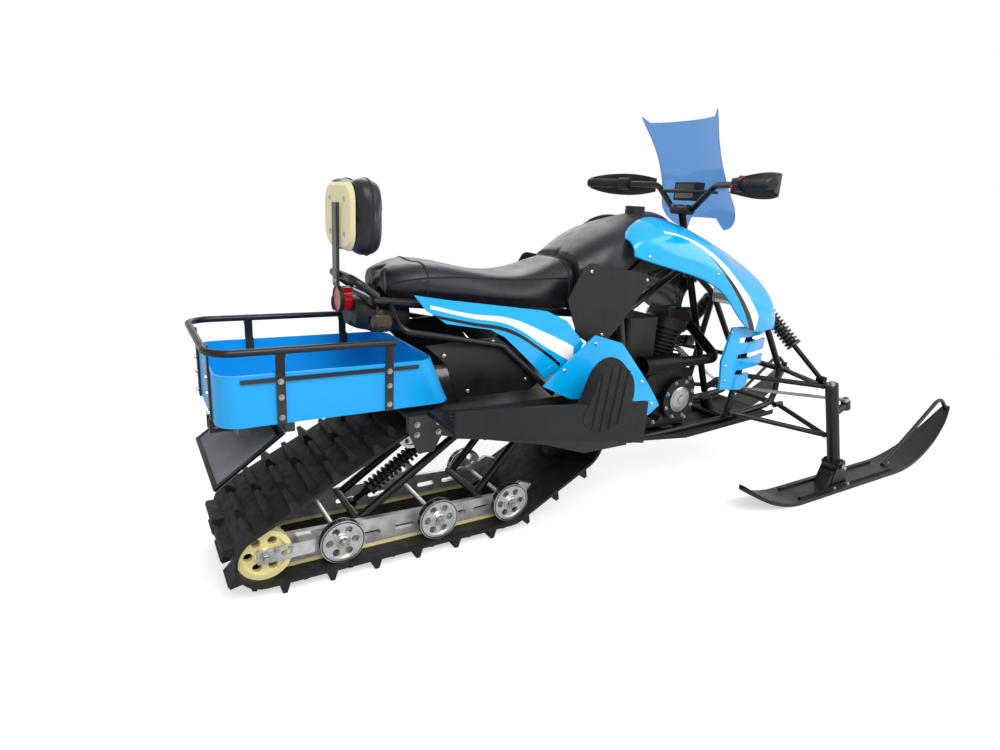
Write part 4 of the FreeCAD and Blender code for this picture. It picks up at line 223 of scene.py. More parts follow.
@dataclass(frozen=True)
class MouldedPlastic(Finish):
    """Injection-moulded sheet parts, with the mould's grain and a skin that is glossy or matt."""

    shade: str = "#000000"
    grain_mm: float = 1.6
    grain_depth_mm: float = 0.03
    gloss: float = 0.0
    # Painted shade: the dark colour given to faces on a panel's inner side, where the engine bay is in shade; empty
    # for none.
    bay_shade_paint: str = ""

    def dress(self, tree: bpy.types.NodeTree, shader: bpy.types.Node, where: bpy.types.NodeSocket) -> None:
        """Patches of tone, uneven gloss, mould grain, a clear skin on the glossy kind, and painted shade on the
        inner faces where a shade colour is given.

        Args:
            tree: the material's node tree.
            shader: the surface shader.
            where: the place on the surface.
        """
        colour = self.colour_socket(tree, where)
        # Paints shade on the inner faces, so the open engine bay looks dark.
        if self.bay_shade_paint:
            colour = self.paint_bay_shade(tree, where, colour)
        tree.links.new(colour, shader.inputs["Base Color"])
        self.uneven(tree, where, shader, 70, self.roughness * 0.25)
        grain = add_node(tree, "ShaderNodeTexVoronoi", {"Scale": 1000 / self.grain_mm}, {"Vector": where})
        self.relief(tree, grain.outputs["Distance"], shader, self.grain_depth_mm)
        shader.inputs["IOR"].default_value = 1.5
        shader.inputs["Coat Weight"].default_value = self.gloss
        shader.inputs["Coat Roughness"].default_value = 0.08

    def colour_socket(self, tree: bpy.types.NodeTree, where: bpy.types.NodeSocket) -> bpy.types.NodeSocket:
        """The moulded colour with a little of its shade in patches."""
        return self.tones(tree, where, self.shade, 160, 0.35)

    def paint_bay_shade(self, tree: bpy.types.NodeTree, where: bpy.types.NodeSocket,
              colour: bpy.types.NodeSocket) -> bpy.types.NodeSocket:
        """Painted shade on the inner side of a panel, which makes the open engine bay look dark.

        Args:
            tree: the material's node tree.
            where: the place on the surface.
            colour: the outer side's colour.

        Returns:
            The colour of either side.
        """
        across = add_node(tree, "ShaderNodeSeparateXYZ", links={0: where}).outputs[1]
        normal = add_node(tree, "ShaderNodeTexCoord").outputs["Normal"]
        outward = add_node(tree, "ShaderNodeSeparateXYZ", links={0: normal}).outputs[1]
        both = add_node(tree, "ShaderNodeMath", {"operation": "MULTIPLY"}, {0: across, 1: outward})
        inner = add_node(tree, "ShaderNodeMath", {"operation": "LESS_THAN", 1: -0.012}, {0: both.outputs[0]})
        mix = add_node(tree, "ShaderNodeMix", {"data_type": "RGBA"}, {0: inner.outputs[0], 6: colour})
        # The painted shade colour on the inner faces.
        mix.inputs[7].default_value = linear(self.bay_shade_paint)
        return mix.outputs[2]


@dataclass(frozen=True)
class Band:
    """A stripe seen from the side: its middle line as (station, height) knots and half heights, all in mm."""

    colour: str
    knots: tuple[tuple[float, float], ...]
    half_heights: tuple[float, ...]


@dataclass(frozen=True)
class StripedPlastic(MouldedPlastic):
    """Glossy moulded plastic with long printed stripes that follow the panel."""

    bands: tuple[Band, ...] = ()

    def colour_socket(self, tree: bpy.types.NodeTree, where: bpy.types.NodeSocket) -> bpy.types.NodeSocket:
        """The moulded colour with each stripe laid over it.

        Args:
            tree: the material's node tree.
            where: the place on the surface.

        Returns:
            The colour with its stripes.
        """
        colour = super().colour_socket(tree, where)
        split = add_node(tree, "ShaderNodeSeparateXYZ", links={0: where})
        for band in self.bands:
            knots = [place(station, 0, height) for station, height in band.knots]
            stations = [knot.x for knot in knots]
            low, high = stations[0], stations[-1]
            along = add_node(tree, "ShaderNodeMapRange", {1: low, 2: high, "clamp": False}, {0: split.outputs[0]})
            middle = self.curve(tree, along.outputs[0], [knot.z for knot in knots], stations)
            width = self.curve(tree, along.outputs[0], [half * MM for half in band.half_heights], stations)
            apart = add_node(tree, "ShaderNodeMath", {"operation": "SUBTRACT"}, {0: split.outputs[2], 1: middle})
            away = add_node(tree, "ShaderNodeMath", {"operation": "ABSOLUTE"}, {0: apart.outputs[0]})
            inside = add_node(tree, "ShaderNodeMath", {"operation": "LESS_THAN"}, {0: away.outputs[0], 1: width})
            ahead = add_node(tree, "ShaderNodeMath", {"operation": "GREATER_THAN", 1: 0.0}, {0: along.outputs[0]})
            behind = add_node(tree, "ShaderNodeMath", {"operation": "LESS_THAN", 1: 1.0}, {0: along.outputs[0]})
            both = add_node(tree, "ShaderNodeMath", {"operation": "MULTIPLY"},
                            {0: ahead.outputs[0], 1: behind.outputs[0]})
            mask = add_node(tree, "ShaderNodeMath", {"operation": "MULTIPLY"},
                            {0: inside.outputs[0], 1: both.outputs[0]})
            mix = add_node(tree, "ShaderNodeMix", {"data_type": "RGBA"}, {0: mask.outputs[0], 6: colour})
            mix.inputs[7].default_value = linear(band.colour)
            colour = mix.outputs[2]
        return colour

    def curve(self, tree: bpy.types.NodeTree, along: bpy.types.NodeSocket, values: Sequence[float],
              stations: Sequence[float]) -> bpy.types.NodeSocket:
        """A length in metres that changes along the stripe.

        Args:
            tree: the material's node tree.
            along: zero at the stripe's rear end, one at its front.
            values: the length at each knot.
            stations: where each knot is.

        Returns:
            The length.
        """
        node = add_node(tree, "ShaderNodeFloatCurve", links={1: along})
        line = node.mapping.curves[0]
        low, high = stations[0], stations[-1]
        places = [((station - low) / (high - low), value) for station, value in zip(stations, values)]
        line.points[0].location = places[0]
        line.points[-1].location = places[-1]
        for station, value in places[1:-1]:
            line.points.new(station, value)
        node.mapping.update()
        return node.outputs[0]


@dataclass(frozen=True)
class PowderCoat(Finish):
    """Steel tube and plate under baked powder: fine orange peel, and wear to grey on its edges."""

    worn: str = "#3A3B3D"

    def dress(self, tree: bpy.types.NodeTree, shader: bpy.types.Node, where: bpy.types.NodeSocket) -> None:
        """Orange peel about 2 mm across, and rubbed edges.

        Args:
            tree: the material's node tree.
            shader: the surface shader.
            where: the place on the surface.
        """
        edges = add_node(tree, "ShaderNodeNewGeometry")
        rub = add_node(tree, "ShaderNodeMapRange", {1: 0.53, 2: 0.62, 3: 0.0, 4: 0.6},
                       {0: edges.outputs["Pointiness"]})
        mix = add_node(tree, "ShaderNodeMix", {"data_type": "RGBA"}, {0: rub.outputs[0]})
        mix.inputs[7].default_value = linear(self.worn)
        tree.links.new(self.tones(tree, where, "#000000", 120, 0.3), mix.inputs[6])
        tree.links.new(mix.outputs[2], shader.inputs["Base Color"])
        self.uneven(tree, where, shader, 40, 0.07)
        peel = add_node(tree, "ShaderNodeTexNoise", {"Scale": 1000 / 2.2, "Detail": 2.0}, {"Vector": where})
        self.relief(tree, peel.outputs["Fac"], shader, 0.05, 0.5)


@dataclass(frozen=True)
class BareMetal(Finish):
    """Rolled or turned metal with fine lines along one way, or cast metal where the lines are as long as wide."""

    grain: tuple[float, float, float] = (0.06, 1.0, 1.0)
    grain_mm: float = 1.2
    depth_mm: float = 0.02
    tarnish: str = "#6A6C70"
    metallic: float = 1.0

    def dress(self, tree: bpy.types.NodeTree, shader: bpy.types.Node, where: bpy.types.NodeSocket) -> None:
        """Fine lines in the relief and the gloss, and patches of tarnish.

        Args:
            tree: the material's node tree.
            shader: the surface shader.
            where: the place on the surface.
        """
        shader.inputs["Metallic"].default_value = self.metallic
        tree.links.new(self.tones(tree, where, self.tarnish, 45, 0.5), shader.inputs["Base Color"])
        stretch = add_node(tree, "ShaderNodeMapping", {"Scale": self.grain}, {"Vector": where})
        lines = add_node(tree, "ShaderNodeTexNoise", {"Scale": 1000 / self.grain_mm, "Detail": 3.0},
                         {"Vector": stretch.outputs[0]})
        spread = add_node(tree, "ShaderNodeMapRange", {1: 0.3, 2: 0.7, 3: self.roughness - 0.08,
                                                       4: self.roughness + 0.12}, {0: lines.outputs["Fac"]})
        tree.links.new(spread.outputs[0], shader.inputs["Roughness"])
        self.relief(tree, lines.outputs["Fac"], shader, self.depth_mm, 0.6)


@dataclass(frozen=True)
class Rubber(Finish):
    """Moulded rubber: black, dull, with a grey bloom and a fine pitted skin."""

    bloom: str = "#3C3C3A"
    pit_mm: float = 3.0

    def dress(self, tree: bpy.types.NodeTree, shader: bpy.types.Node, where: bpy.types.NodeSocket) -> None:
        """A grey bloom in patches and small pits.

        Args:
            tree: the material's node tree.
            shader: the surface shader.
            where: the place on the surface.
        """
        tree.links.new(self.tones(tree, where, self.bloom, 55, 0.75), shader.inputs["Base Color"])
        self.uneven(tree, where, shader, 25, 0.12)
        pits = add_node(tree, "ShaderNodeTexNoise", {"Scale": 1000 / self.pit_mm, "Detail": 4.0}, {"Vector": where})
        self.relief(tree, pits.outputs["Fac"], shader, 0.25, 0.6)


@dataclass(frozen=True)
class Vinyl(Finish):
    """Coated seat cloth: an embossed leather grain of small cells, and a soft sheen."""

    cell_mm: float = 2.6

    def dress(self, tree: bpy.types.NodeTree, shader: bpy.types.Node, where: bpy.types.NodeSocket) -> None:
        """Embossed cells with creases between them. Real cells are about 1 mm; they are drawn as 2.6 mm to show.

        Args:
            tree: the material's node tree.
            shader: the surface shader.
            where: the place on the surface.
        """
        tree.links.new(self.tones(tree, where, "#151B2A", 220, 0.5), shader.inputs["Base Color"])
        self.uneven(tree, where, shader, 30, 0.06)
        cells = add_node(tree, "ShaderNodeTexVoronoi", {"Scale": 1000 / self.cell_mm,
                                                        "feature": "DISTANCE_TO_EDGE"}, {"Vector": where})
        crease = add_node(tree, "ShaderNodeMapRange", {1: 0.0, 2: 0.12}, {0: cells.outputs["Distance"]})
        self.relief(tree, crease.outputs[0], shader, 0.12, 0.45)
        shader.inputs["Sheen Weight"].default_value = 0.12
        shader.inputs["Sheen Roughness"].default_value = 0.4


@dataclass(frozen=True)
class ClearPlastic(Finish):
    """Tinted clear sheet or a lamp's lens; light passes through and takes its colour."""

    passes: float = 0.9
    scratch_mm: float = 12.0

    def dress(self, tree: bpy.types.NodeTree, shader: bpy.types.Node, where: bpy.types.NodeSocket) -> None:
        """Faint scratches in the gloss, over a body that lets light through.

        Args:
            tree: the material's node tree.
            shader: the surface shader.
            where: the place on the surface.
        """
        tree.links.new(self.tones(tree, where, self.colour, 80, 0.0), shader.inputs["Base Color"])
        shader.inputs["Transmission Weight"].default_value = self.passes
        shader.inputs["IOR"].default_value = 1.49
        self.uneven(tree, where, shader, self.scratch_mm, self.roughness * 0.6)


@dataclass(frozen=True)
class RibbedLens(ClearPlastic):
    """A moulded lens with prism ribs inside."""

    rib_mm: float = 6.0

    def dress(self, tree: bpy.types.NodeTree, shader: bpy.types.Node, where: bpy.types.NodeSocket) -> None:
        """The clear body, with upright ribs in its relief.

        Args:
            tree: the material's node tree.
            shader: the surface shader.
            where: the place on the surface.
        """
        super().dress(tree, shader, where)
        ribs = add_node(tree, "ShaderNodeTexWave", {"Scale": 1000 / self.rib_mm / 6.0, "bands_direction": "Y"},
                        {"Vector": where})
        self.relief(tree, ribs.outputs["Fac"], shader, 0.6, 0.8)


BLUE, BLUE_SHADE = "#00ACF2", "#009AE4"
# The third colour is painted shade for the inner faces of the blue panels.
WHITE, BLACK, PAINTED_BAY_SHADE = "#F4F5F6", "#08090A", "#0E1114"
STRIPE_WHITE = Band(WHITE, ((1413, 985), (1518, 963), (1602, 922), (1672, 873), (1756, 802), (1819, 740),
                            (1879, 666)), (3, 4, 8, 12, 18, 24, 30))
STRIPE_BLACK = Band(BLACK, ((1600, 911), (1672, 853), (1756, 771), (1819, 698), (1879, 612)), (2, 7, 12, 17, 23))
PANEL_WHITE = Band(WHITE, ((585, 760), (703, 733), (831, 712), (960, 650), (1060, 600)), (5, 6, 10, 22, 26))
PANEL_BLACK = Band(BLACK, ((575, 738), (703, 711), (831, 684), (930, 628), (1012, 570)), (4, 5, 6, 6, 6))


EVEN_GRAIN = (1.0, 1.0, 1.0)


class Material(Enum):
    """Every finish on the machine, by what the real surface is."""

    # The blue panels carry painted shade on their inner faces.
    BLUE_ABS = MouldedPlastic("Gloss blue ABS, injection moulded", BLUE, 0.2, BLUE_SHADE, 2.4, 0.01, 0.6, PAINTED_BAY_SHADE)
    SHROUD_ABS = StripedPlastic("Gloss blue ABS with printed stripes", BLUE, 0.2, BLUE_SHADE, 2.4, 0.01, 0.6,
                                PAINTED_BAY_SHADE, (STRIPE_BLACK, STRIPE_WHITE))
    PANEL_ABS = StripedPlastic("Gloss blue side ABS with printed stripes", BLUE, 0.2, BLUE_SHADE, 2.4, 0.01, 0.6,
                               PAINTED_BAY_SHADE, (PANEL_BLACK, PANEL_WHITE))
    TRAY_PE = MouldedPlastic("Blue polyethylene, rotation moulded", "#00A6F0", 0.38, "#0092DE", 5.0, 0.12, 0.1)
    BLACK_PP = MouldedPlastic("Black polypropylene, grained mould", "#0B0A0A", 0.52, "#161413", 2.2, 0.09)
    GREY_PE = MouldedPlastic("Grey polyethylene flap", "#6E7078", 0.55, "#54565E", 6.0, 0.12)
    CREAM_ABS = MouldedPlastic("Cream ABS shell", "#F1E6B2", 0.38, "#DCCD96", 3.0, 0.03, 0.2)
    CREAM_NYLON = MouldedPlastic("Cream cast nylon", "#EFE5A6", 0.42, "#D2C482", 3.0, 0.06)
    SKI_PE = MouldedPlastic("Black polyethylene ski", "#0B0C10", 0.36, "#17181D", 6.0, 0.10)
    BELT = Rubber("Black moulded track rubber", "#0B0B0B", 0.68, "#262522", 4.0)
    GRIP = Rubber("Soft black grip rubber", "#0A0A0B", 0.6, "#1A1A1C", 1.5)
    SEAT_VINYL = Vinyl("Navy-black seat vinyl", "#080B12", 0.4)
    SEAT_SIDE = Vinyl("Brown-black seat vinyl", "#0E0C0B", 0.5)
    BLACK_COAT = PowderCoat("Black powder-coated steel", "#08080A", 0.34)
    ALLOY_RAIL = BareMetal("Extruded aluminium rail", "#F0F1F0", 0.5)
    ALLOY_WHEEL = BareMetal("Cast aluminium wheel", "#E8E9E7", 0.36, EVEN_GRAIN, 2.5, 0.05, "#B4B6B4")
    CAST_DARK = BareMetal("Black painted engine casting", "#0F0F11", 0.42, EVEN_GRAIN, 2.5, 0.12, "#222224", 0.3)
    DARK_STEEL = BareMetal("Oiled dark steel", "#2A2A2C", 0.38, EVEN_GRAIN, 1.5, 0.03, "#151517")
    ZINC = BareMetal("Bright zinc-plated steel", "#C8CACC", 0.28, EVEN_GRAIN, 1.0, 0.01, "#8E9094")
    SPRING = PowderCoat("Black spring enamel", "#0C0C0E", 0.26)
    SCREEN = ClearPlastic("Blue tinted polycarbonate screen", "#6DA2E0", 0.05, 0.86)
    RED_LENS = RibbedLens("Red acrylic tail lens", "#D01420", 0.12, 0.35)
    CLEAR_LENS = RibbedLens("Clear acrylic lamp lens", "#D5D8DC", 0.1, 0.6)
    SMOKE_LENS = RibbedLens("Smoked acrylic signal lens", "#4A3A30", 0.14, 0.3)
    DIAL = MouldedPlastic("Dark display glass", "#0A0D12", 0.08, "#0F141C", 6.0, 0.0, 1.0)
    RED_SWITCH = MouldedPlastic("Red switch plastic", "#C8141C", 0.35, "#9C0C12", 1.0, 0.02)

    def skin(self) -> bpy.types.Material:
        """The Blender material of this finish."""
        return self.value.material()


NODE_FINISHES: dict[Material, tuple[str, ...]] = {
    Material.BLUE_ABS: ("rib_fairings", "knee_panels", "nose_panel"),
    Material.SHROUD_ABS: ("front_shrouds",),
    Material.PANEL_ABS: ("side_panels",),
    Material.TRAY_PE: ("cargo_tray",),
    Material.BLACK_PP: ("belly_pan", "footboards", "side_covers", "tank_cover", "tank_skirts", "fuel_cap",
                        "tail_cover", "air_box", "hand_controls", "hand_guards", "instrument_pod"),
    Material.GREY_PE: ("snow_flap",),
    Material.CREAM_ABS: ("backrest_shell",),
    Material.CREAM_NYLON: ("idler_wheels", "slide_strips"),
    Material.SKI_PE: ("ski_left", "ski_right"),
    Material.BELT: ("track_belt",),
    Material.GRIP: ("hand_grips", "foot_guards"),
    Material.SEAT_VINYL: ("seat", "tank_pad", "backrest_pad"),
    Material.BLACK_COAT: ("tunnel", "hanger_brackets", "rear_rack", "tray_rails", "tow_hitch", "main_frame",
                          "seat_frame", "grab_rail", "suspension_arms", "spindle_left", "spindle_right",
                          "handlebar", "skid_arms"),
    Material.ALLOY_RAIL: ("slide_rails",),
    Material.ALLOY_WHEEL: ("bogie_wheels",),
    Material.CAST_DARK: ("engine", "chain_case"),
    Material.DARK_STEEL: ("drive_axle", "exhaust", "front_shocks", "skid_shock", "steering_stem"),
    Material.ZINC: ("tie_rod_left", "tie_rod_right"),
    Material.SCREEN: ("windshield",),
    Material.RED_LENS: ("tail_lamp",),
    Material.CLEAR_LENS: ("headlamp",),
    Material.SMOKE_LENS: ("turn_signals",),
}


# Mesh tools

def finish_piece(name: str, mesh: bmesh.types.BMesh, material: Material, body: str, smooth: bool = True) -> bpy.types.Object:
    """Turns a mesh under work into a named piece that rides on a body.

    Args:
        name: the piece's name.
        mesh: the geometry, in the machine's frame.
        material: its finish.
        body: the CAD body that it moves with.
        smooth: whether its faces shade smoothly up to sharp edges.

    Returns:
        The new object.
    """
    bmesh.ops.recalc_face_normals(mesh, faces=mesh.faces)
    data = bpy.data.meshes.new(name)
    mesh.to_mesh(data)
    mesh.free()
    piece = bpy.data.objects.new(name, data)
    bpy.context.scene.collection.objects.link(piece)
    data.materials.append(material.skin())
    if smooth:
        data.shade_smooth()
        data.set_sharp_from_angle(angle=math.radians(35))
    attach(piece, body)
    log.info("piece %s: %d faces on %s", name, len(data.polygons), body)
    return piece


def facing(axis: Vector) -> Matrix:
    """A turn that takes +Z to the given direction."""
    return axis.to_track_quat("Z", "Y").to_matrix().to_4x4()


def add_turned(mesh: bmesh.types.BMesh, foot: Vector, axis: Vector, profile: Sequence[tuple[float, float]],
               sides: int = 16, ring: bool = False) -> None:
    """Adds a turned solid.

    Args:
        mesh: the mesh that it joins.
        foot: where its axis starts.
        axis: the direction of its axis.
        profile: (radius, distance along the axis) from one end to the other, in metres.
        sides: how many flats go round it; six makes a hexagon.
        ring: whether the profile comes back to its start, round a hole, in place of having two flat ends.
    """
    turn = Matrix.Translation(foot) @ facing(axis)
    rings = []
    for radius, along in profile:
        if radius == 0:
            rings.append([mesh.verts.new(turn @ Vector((0, 0, along)))])
            continue
        rings.append([mesh.verts.new(turn @ Vector((radius * math.cos(2 * math.pi * index / sides),
                                                    radius * math.sin(2 * math.pi * index / sides), along)))
                      for index in range(sides)])
    for low, high in zip(rings, rings[1:] + (rings[:1] if ring else [])):
        for index in range(sides):
            following = (index + 1) % sides
            corners = [low[index % len(low)], low[following % len(low)], high[following % len(high)],
                       high[index % len(high)]]
            unique = list(dict.fromkeys(corners))
            if len(unique) > 2:
                mesh.faces.new(unique)
    for end in () if ring else (rings[0], rings[-1]):
        if len(end) > 2:
            mesh.faces.new(end)


def add_ring(mesh: bmesh.types.BMesh, middle: Vector, axis: Vector, inner: float, outer: float, half: float,
             sides: int = 48) -> None:
    """Adds a flat-faced ring, such as a tyre or a bezel.

    Args:
        mesh: the mesh that it joins.
        middle: its centre.
        axis: its axle's direction.
        inner: its bore's radius.
        outer: its outer radius.
        half: half its width.
        sides: how many flats go round it.
    """
    shoulder = outer - half * 0.2
    add_turned(mesh, middle, axis, ((inner, -half), (shoulder, -half), (outer, -half * 0.7), (outer, half * 0.7),
                                    (shoulder, half), (inner, half)), sides, ring=True)


def add_sweep(mesh: bmesh.types.BMesh, path: Sequence[Vector], radius: float, sides: int = 8,
              closed: bool = False) -> None:
    """Adds a round bar along a path.

    Args:
        mesh: the mesh that it joins.
        path: the points along its middle.
        radius: the bar's radius.
        sides: how many flats go round it.
        closed: whether the path's end meets its start.
    """
    count = len(path)
    normal = None
    rings = []
    for index, middle in enumerate(path):
        before = path[index - 1] if index or closed else path[0]
        after = path[(index + 1) % count] if index + 1 < count or closed else path[-1]
        along = (after - before).normalized()
        if normal is None:
            normal = along.orthogonal().normalized()
        normal = (normal - along * normal.dot(along)).normalized()
        side = along.cross(normal)
        rings.append([mesh.verts.new(middle + (normal * math.cos(2 * math.pi * step / sides)
                                               + side * math.sin(2 * math.pi * step / sides)) * radius)
                      for step in range(sides)])
    pairs = list(zip(rings, rings[1:]))
    if closed:
        pairs.append((rings[-1], rings[0]))
    for low, high in pairs:
        for step in range(sides):
            following = (step + 1) % sides
            mesh.faces.new([low[step], low[following], high[following], high[step]])
    if not closed:
        mesh.faces.new(rings[0])
        mesh.faces.new(rings[-1])


def add_slab(mesh: bmesh.types.BMesh, middle: Vector, axes: tuple[Vector, Vector, Vector],
             halves: tuple[float, float, float], bevel: float = 0.0) -> None:
    """Adds a block with softened edges.

    Args:
        mesh: the mesh that it joins.
        middle: its centre.
        axes: its three directions.
        halves: half its size along each.
        bevel: how much its edges are rounded.
    """
    turn = Matrix((axes[0], axes[1], axes[2])).transposed().to_4x4()
    scale = Matrix.Diagonal((halves[0] * 2, halves[1] * 2, halves[2] * 2, 1))
    made = bmesh.ops.create_cube(mesh, size=1.0, matrix=Matrix.Translation(middle) @ turn @ scale)
    if bevel:
        edges = {edge for vert in made["verts"] for edge in vert.link_edges}
        bmesh.ops.bevel(mesh, geom=list(edges), offset=bevel, segments=2, affect="EDGES", profile=0.6)


@dataclass
class Surface:
    """The skin of a CAD node or a piece, for putting small parts on it."""

    subject: bpy.types.Object
    tree: BVHTree = field(init=False)

    def __post_init__(self) -> None:
        """Reads the mesh once, modifiers included."""
        graph = bpy.context.evaluated_depsgraph_get()
        self.tree = BVHTree.FromObject(self.subject, graph)

    def hit(self, start: Vector, direction: Vector) -> tuple[Vector, Vector] | None:
        """Where a line first meets the skin.

        Args:
            start: where the line starts.
            direction: which way it goes.

        Returns:
            The place and the outward direction there, or nothing.
        """
        spot, normal, _, _ = self.tree.ray_cast(start, direction)
        if spot is None:
            return None
        if normal.dot(direction) > 0:
            normal = -normal
        return spot, normal

    def near(self, spot: Vector) -> tuple[Vector, Vector]:
        """The nearest place on the skin and its outward direction."""
        found, normal, _, _ = self.tree.find_nearest(spot)
        return found, normal


@dataclass
class Fasteners:
    """Bolts, rivets and screws of one body, gathered in one joined mesh."""

    name: str
    body: str
    material: Material = Material.ZINC
    mesh: bmesh.types.BMesh = field(default_factory=bmesh.new)

    def hex_bolt(self, foot: Vector, axis: Vector, size: float = 0.008) -> None:
        """A washer and a hexagon head.

        Args:
            foot: where it stands on the surface.
            axis: the way out of the surface.
            size: the head's radius, in metres.
        """
        axis = axis.normalized()
        add_turned(self.mesh, foot - axis * size * 0.1, axis, ((size * 1.35, 0), (size * 1.35, size * 0.3)), 16)
        add_turned(self.mesh, foot + axis * size * 0.18, axis, ((size, 0), (size, size * 0.75),
                                                                (size * 0.86, size * 0.95)), 6)

    def pair(self, station: float, across: float, height: float, size: float) -> None:
        """The same hexagon bolt on both sides of the machine, facing outward.

        Args:
            station: where it is along the machine, in mm.
            across: how far it is from the middle, in mm.
            height: how high it is, in mm.
            size: the head's radius, in metres.
        """
        for side in (-1, 1):
            self.hex_bolt(place(station, side * across, height), outward(side), size)

    def dome(self, foot: Vector, axis: Vector, size: float = 0.006) -> None:
        """A round-headed rivet or screw.

        Args:
            foot: where it stands on the surface.
            axis: the way out of the surface.
            size: the head's radius, in metres.
        """
        axis = axis.normalized()
        add_turned(self.mesh, foot - axis * size * 0.15, axis,
                   ((size, 0), (size, size * 0.25), (size * 0.8, size * 0.5), (size * 0.4, size * 0.65),
                    (size * 0.3, size * 0.5)), 12)

    def close(self, slot: str = "bright_steel") -> None:
        """Makes the piece, if anything was put in it."""
        if self.mesh.verts:
            finish_piece(self.name, self.mesh, self.material, self.body)


# Sub-assemblies

@dataclass
class Studio:
    """Camera at the photograph's place, soft light, and a pale floor."""

    eye: Vector = field(default_factory=lambda: place(-145, -1701, 1050))
    heading: float = 57.8
    pitch: float = -15.6
    roll: float = 3.4
    lens: float = 22.28
    lamps: tuple[tuple[str, tuple[float, float, float], float, float], ...] = (
        ("key", (-1.2, -3.0, 3.6), 2.6, 120.0), ("fill", (2.6, -2.4, 2.6), 3.0, 60.0),
        ("rim", (0.4, 3.2, 3.0), 3.0, 60.0))
    aim: float = 0.4

    def build(self) -> None:
        """Puts up the camera, the light and the floor."""
        scene = bpy.context.scene
        scene.view_settings.view_transform = "Standard"
        yaw, pitch, roll = (math.radians(angle) for angle in (self.heading, self.pitch, self.roll))
        ahead = Vector((math.cos(pitch) * math.cos(yaw), math.cos(pitch) * math.sin(yaw), math.sin(pitch)))
        right = Vector((math.sin(yaw), -math.cos(yaw), 0))
        up = right.cross(ahead)
        right, up = (right * math.cos(roll) + up * math.sin(roll), up * math.cos(roll) - right * math.sin(roll))
        data = bpy.data.cameras.new("camera")
        data.lens = self.lens
        data.sensor_width = 36.0
        camera = bpy.data.objects.new("camera", data)
        camera.matrix_world = Matrix.Translation(self.eye) @ Matrix((right, up, -ahead)).transposed().to_4x4()
        scene.collection.objects.link(camera)
        scene.camera = camera
        self.light()
        self.floor()

    def light(self) -> None:
        """An even sky that is white to the eye, and three large soft lamps."""
        world = bpy.data.worlds.new("world")
        bpy.context.scene.world = world
        world.use_nodes = True
        tree = world.node_tree
        tree.nodes.clear()
        path = add_node(tree, "ShaderNodeLightPath")
        seen = add_node(tree, "ShaderNodeMath", {"operation": "MAXIMUM"},
                        {0: path.outputs["Is Camera Ray"], 1: path.outputs["Is Transmission Ray"]})
        level = add_node(tree, "ShaderNodeMapRange", {3: 0.62, 4: 1.0}, {0: seen.outputs[0]})
        sky = add_node(tree, "ShaderNodeBackground", {"Color": (1.0, 1.0, 1.0, 1.0)},
                       {"Strength": level.outputs[0]})
        add_node(tree, "ShaderNodeOutputWorld", links={0: sky.outputs[0]})
        for name, spot, size, power in self.lamps:
            data = bpy.data.lights.new(name, "AREA")
            data.energy = power
            data.size = size
            lamp = bpy.data.objects.new(name, data)
            lamp.location = spot
            lamp.rotation_euler = (Vector(spot) - Vector((0, 0, self.aim))).to_track_quat("Z", "Y").to_euler()
            bpy.context.scene.collection.objects.link(lamp)

    def floor(self) -> None:
        """A wide pale floor that looks white where it is lit and keeps the machine's shadow."""
        mesh = bmesh.new()
        bmesh.ops.create_grid(mesh, x_segments=1, y_segments=1, size=40)
        data = bpy.data.meshes.new("floor")
        mesh.to_mesh(data)
        mesh.free()
        floor = bpy.data.objects.new("floor", data)
        bpy.context.scene.collection.objects.link(floor)
        made = bpy.data.materials.new("Pale matt floor")
        made.use_nodes = True
        tree = made.node_tree
        tree.nodes.clear()
        path = add_node(tree, "ShaderNodeLightPath")
        matt = add_node(tree, "ShaderNodeBsdfDiffuse", {"Color": (0.6, 0.6, 0.6, 1.0)})
        glow = add_node(tree, "ShaderNodeEmission", {"Color": (1.0, 1.0, 1.0, 1.0)})
        lift = add_node(tree, "ShaderNodeMath", {"operation": "MULTIPLY", 1: 0.58},
                        {0: path.outputs["Is Camera Ray"]})
        tree.links.new(lift.outputs[0], glow.inputs["Strength"])
        both = add_node(tree, "ShaderNodeAddShader", links={0: matt.outputs[0], 1: glow.outputs[0]})
        where = add_node(tree, "ShaderNodeTexCoord").outputs["Object"]
        apart = add_node(tree, "ShaderNodeVectorMath", {"operation": "LENGTH"}, {0: where})
        fade = add_node(tree, "ShaderNodeMapRange", {1: 2.4, 2: 5.0}, {0: apart.outputs["Value"]})
        white = add_node(tree, "ShaderNodeEmission", {"Color": (1.0, 1.0, 1.0, 1.0), "Strength": 1.0})
        ground = add_node(tree, "ShaderNodeMixShader", links={0: fade.outputs[0], 1: both.outputs[0],
                                                              2: white.outputs[0]})
        add_node(tree, "ShaderNodeOutputMaterial", links={0: ground.outputs[0]})
        data.materials.append(made)


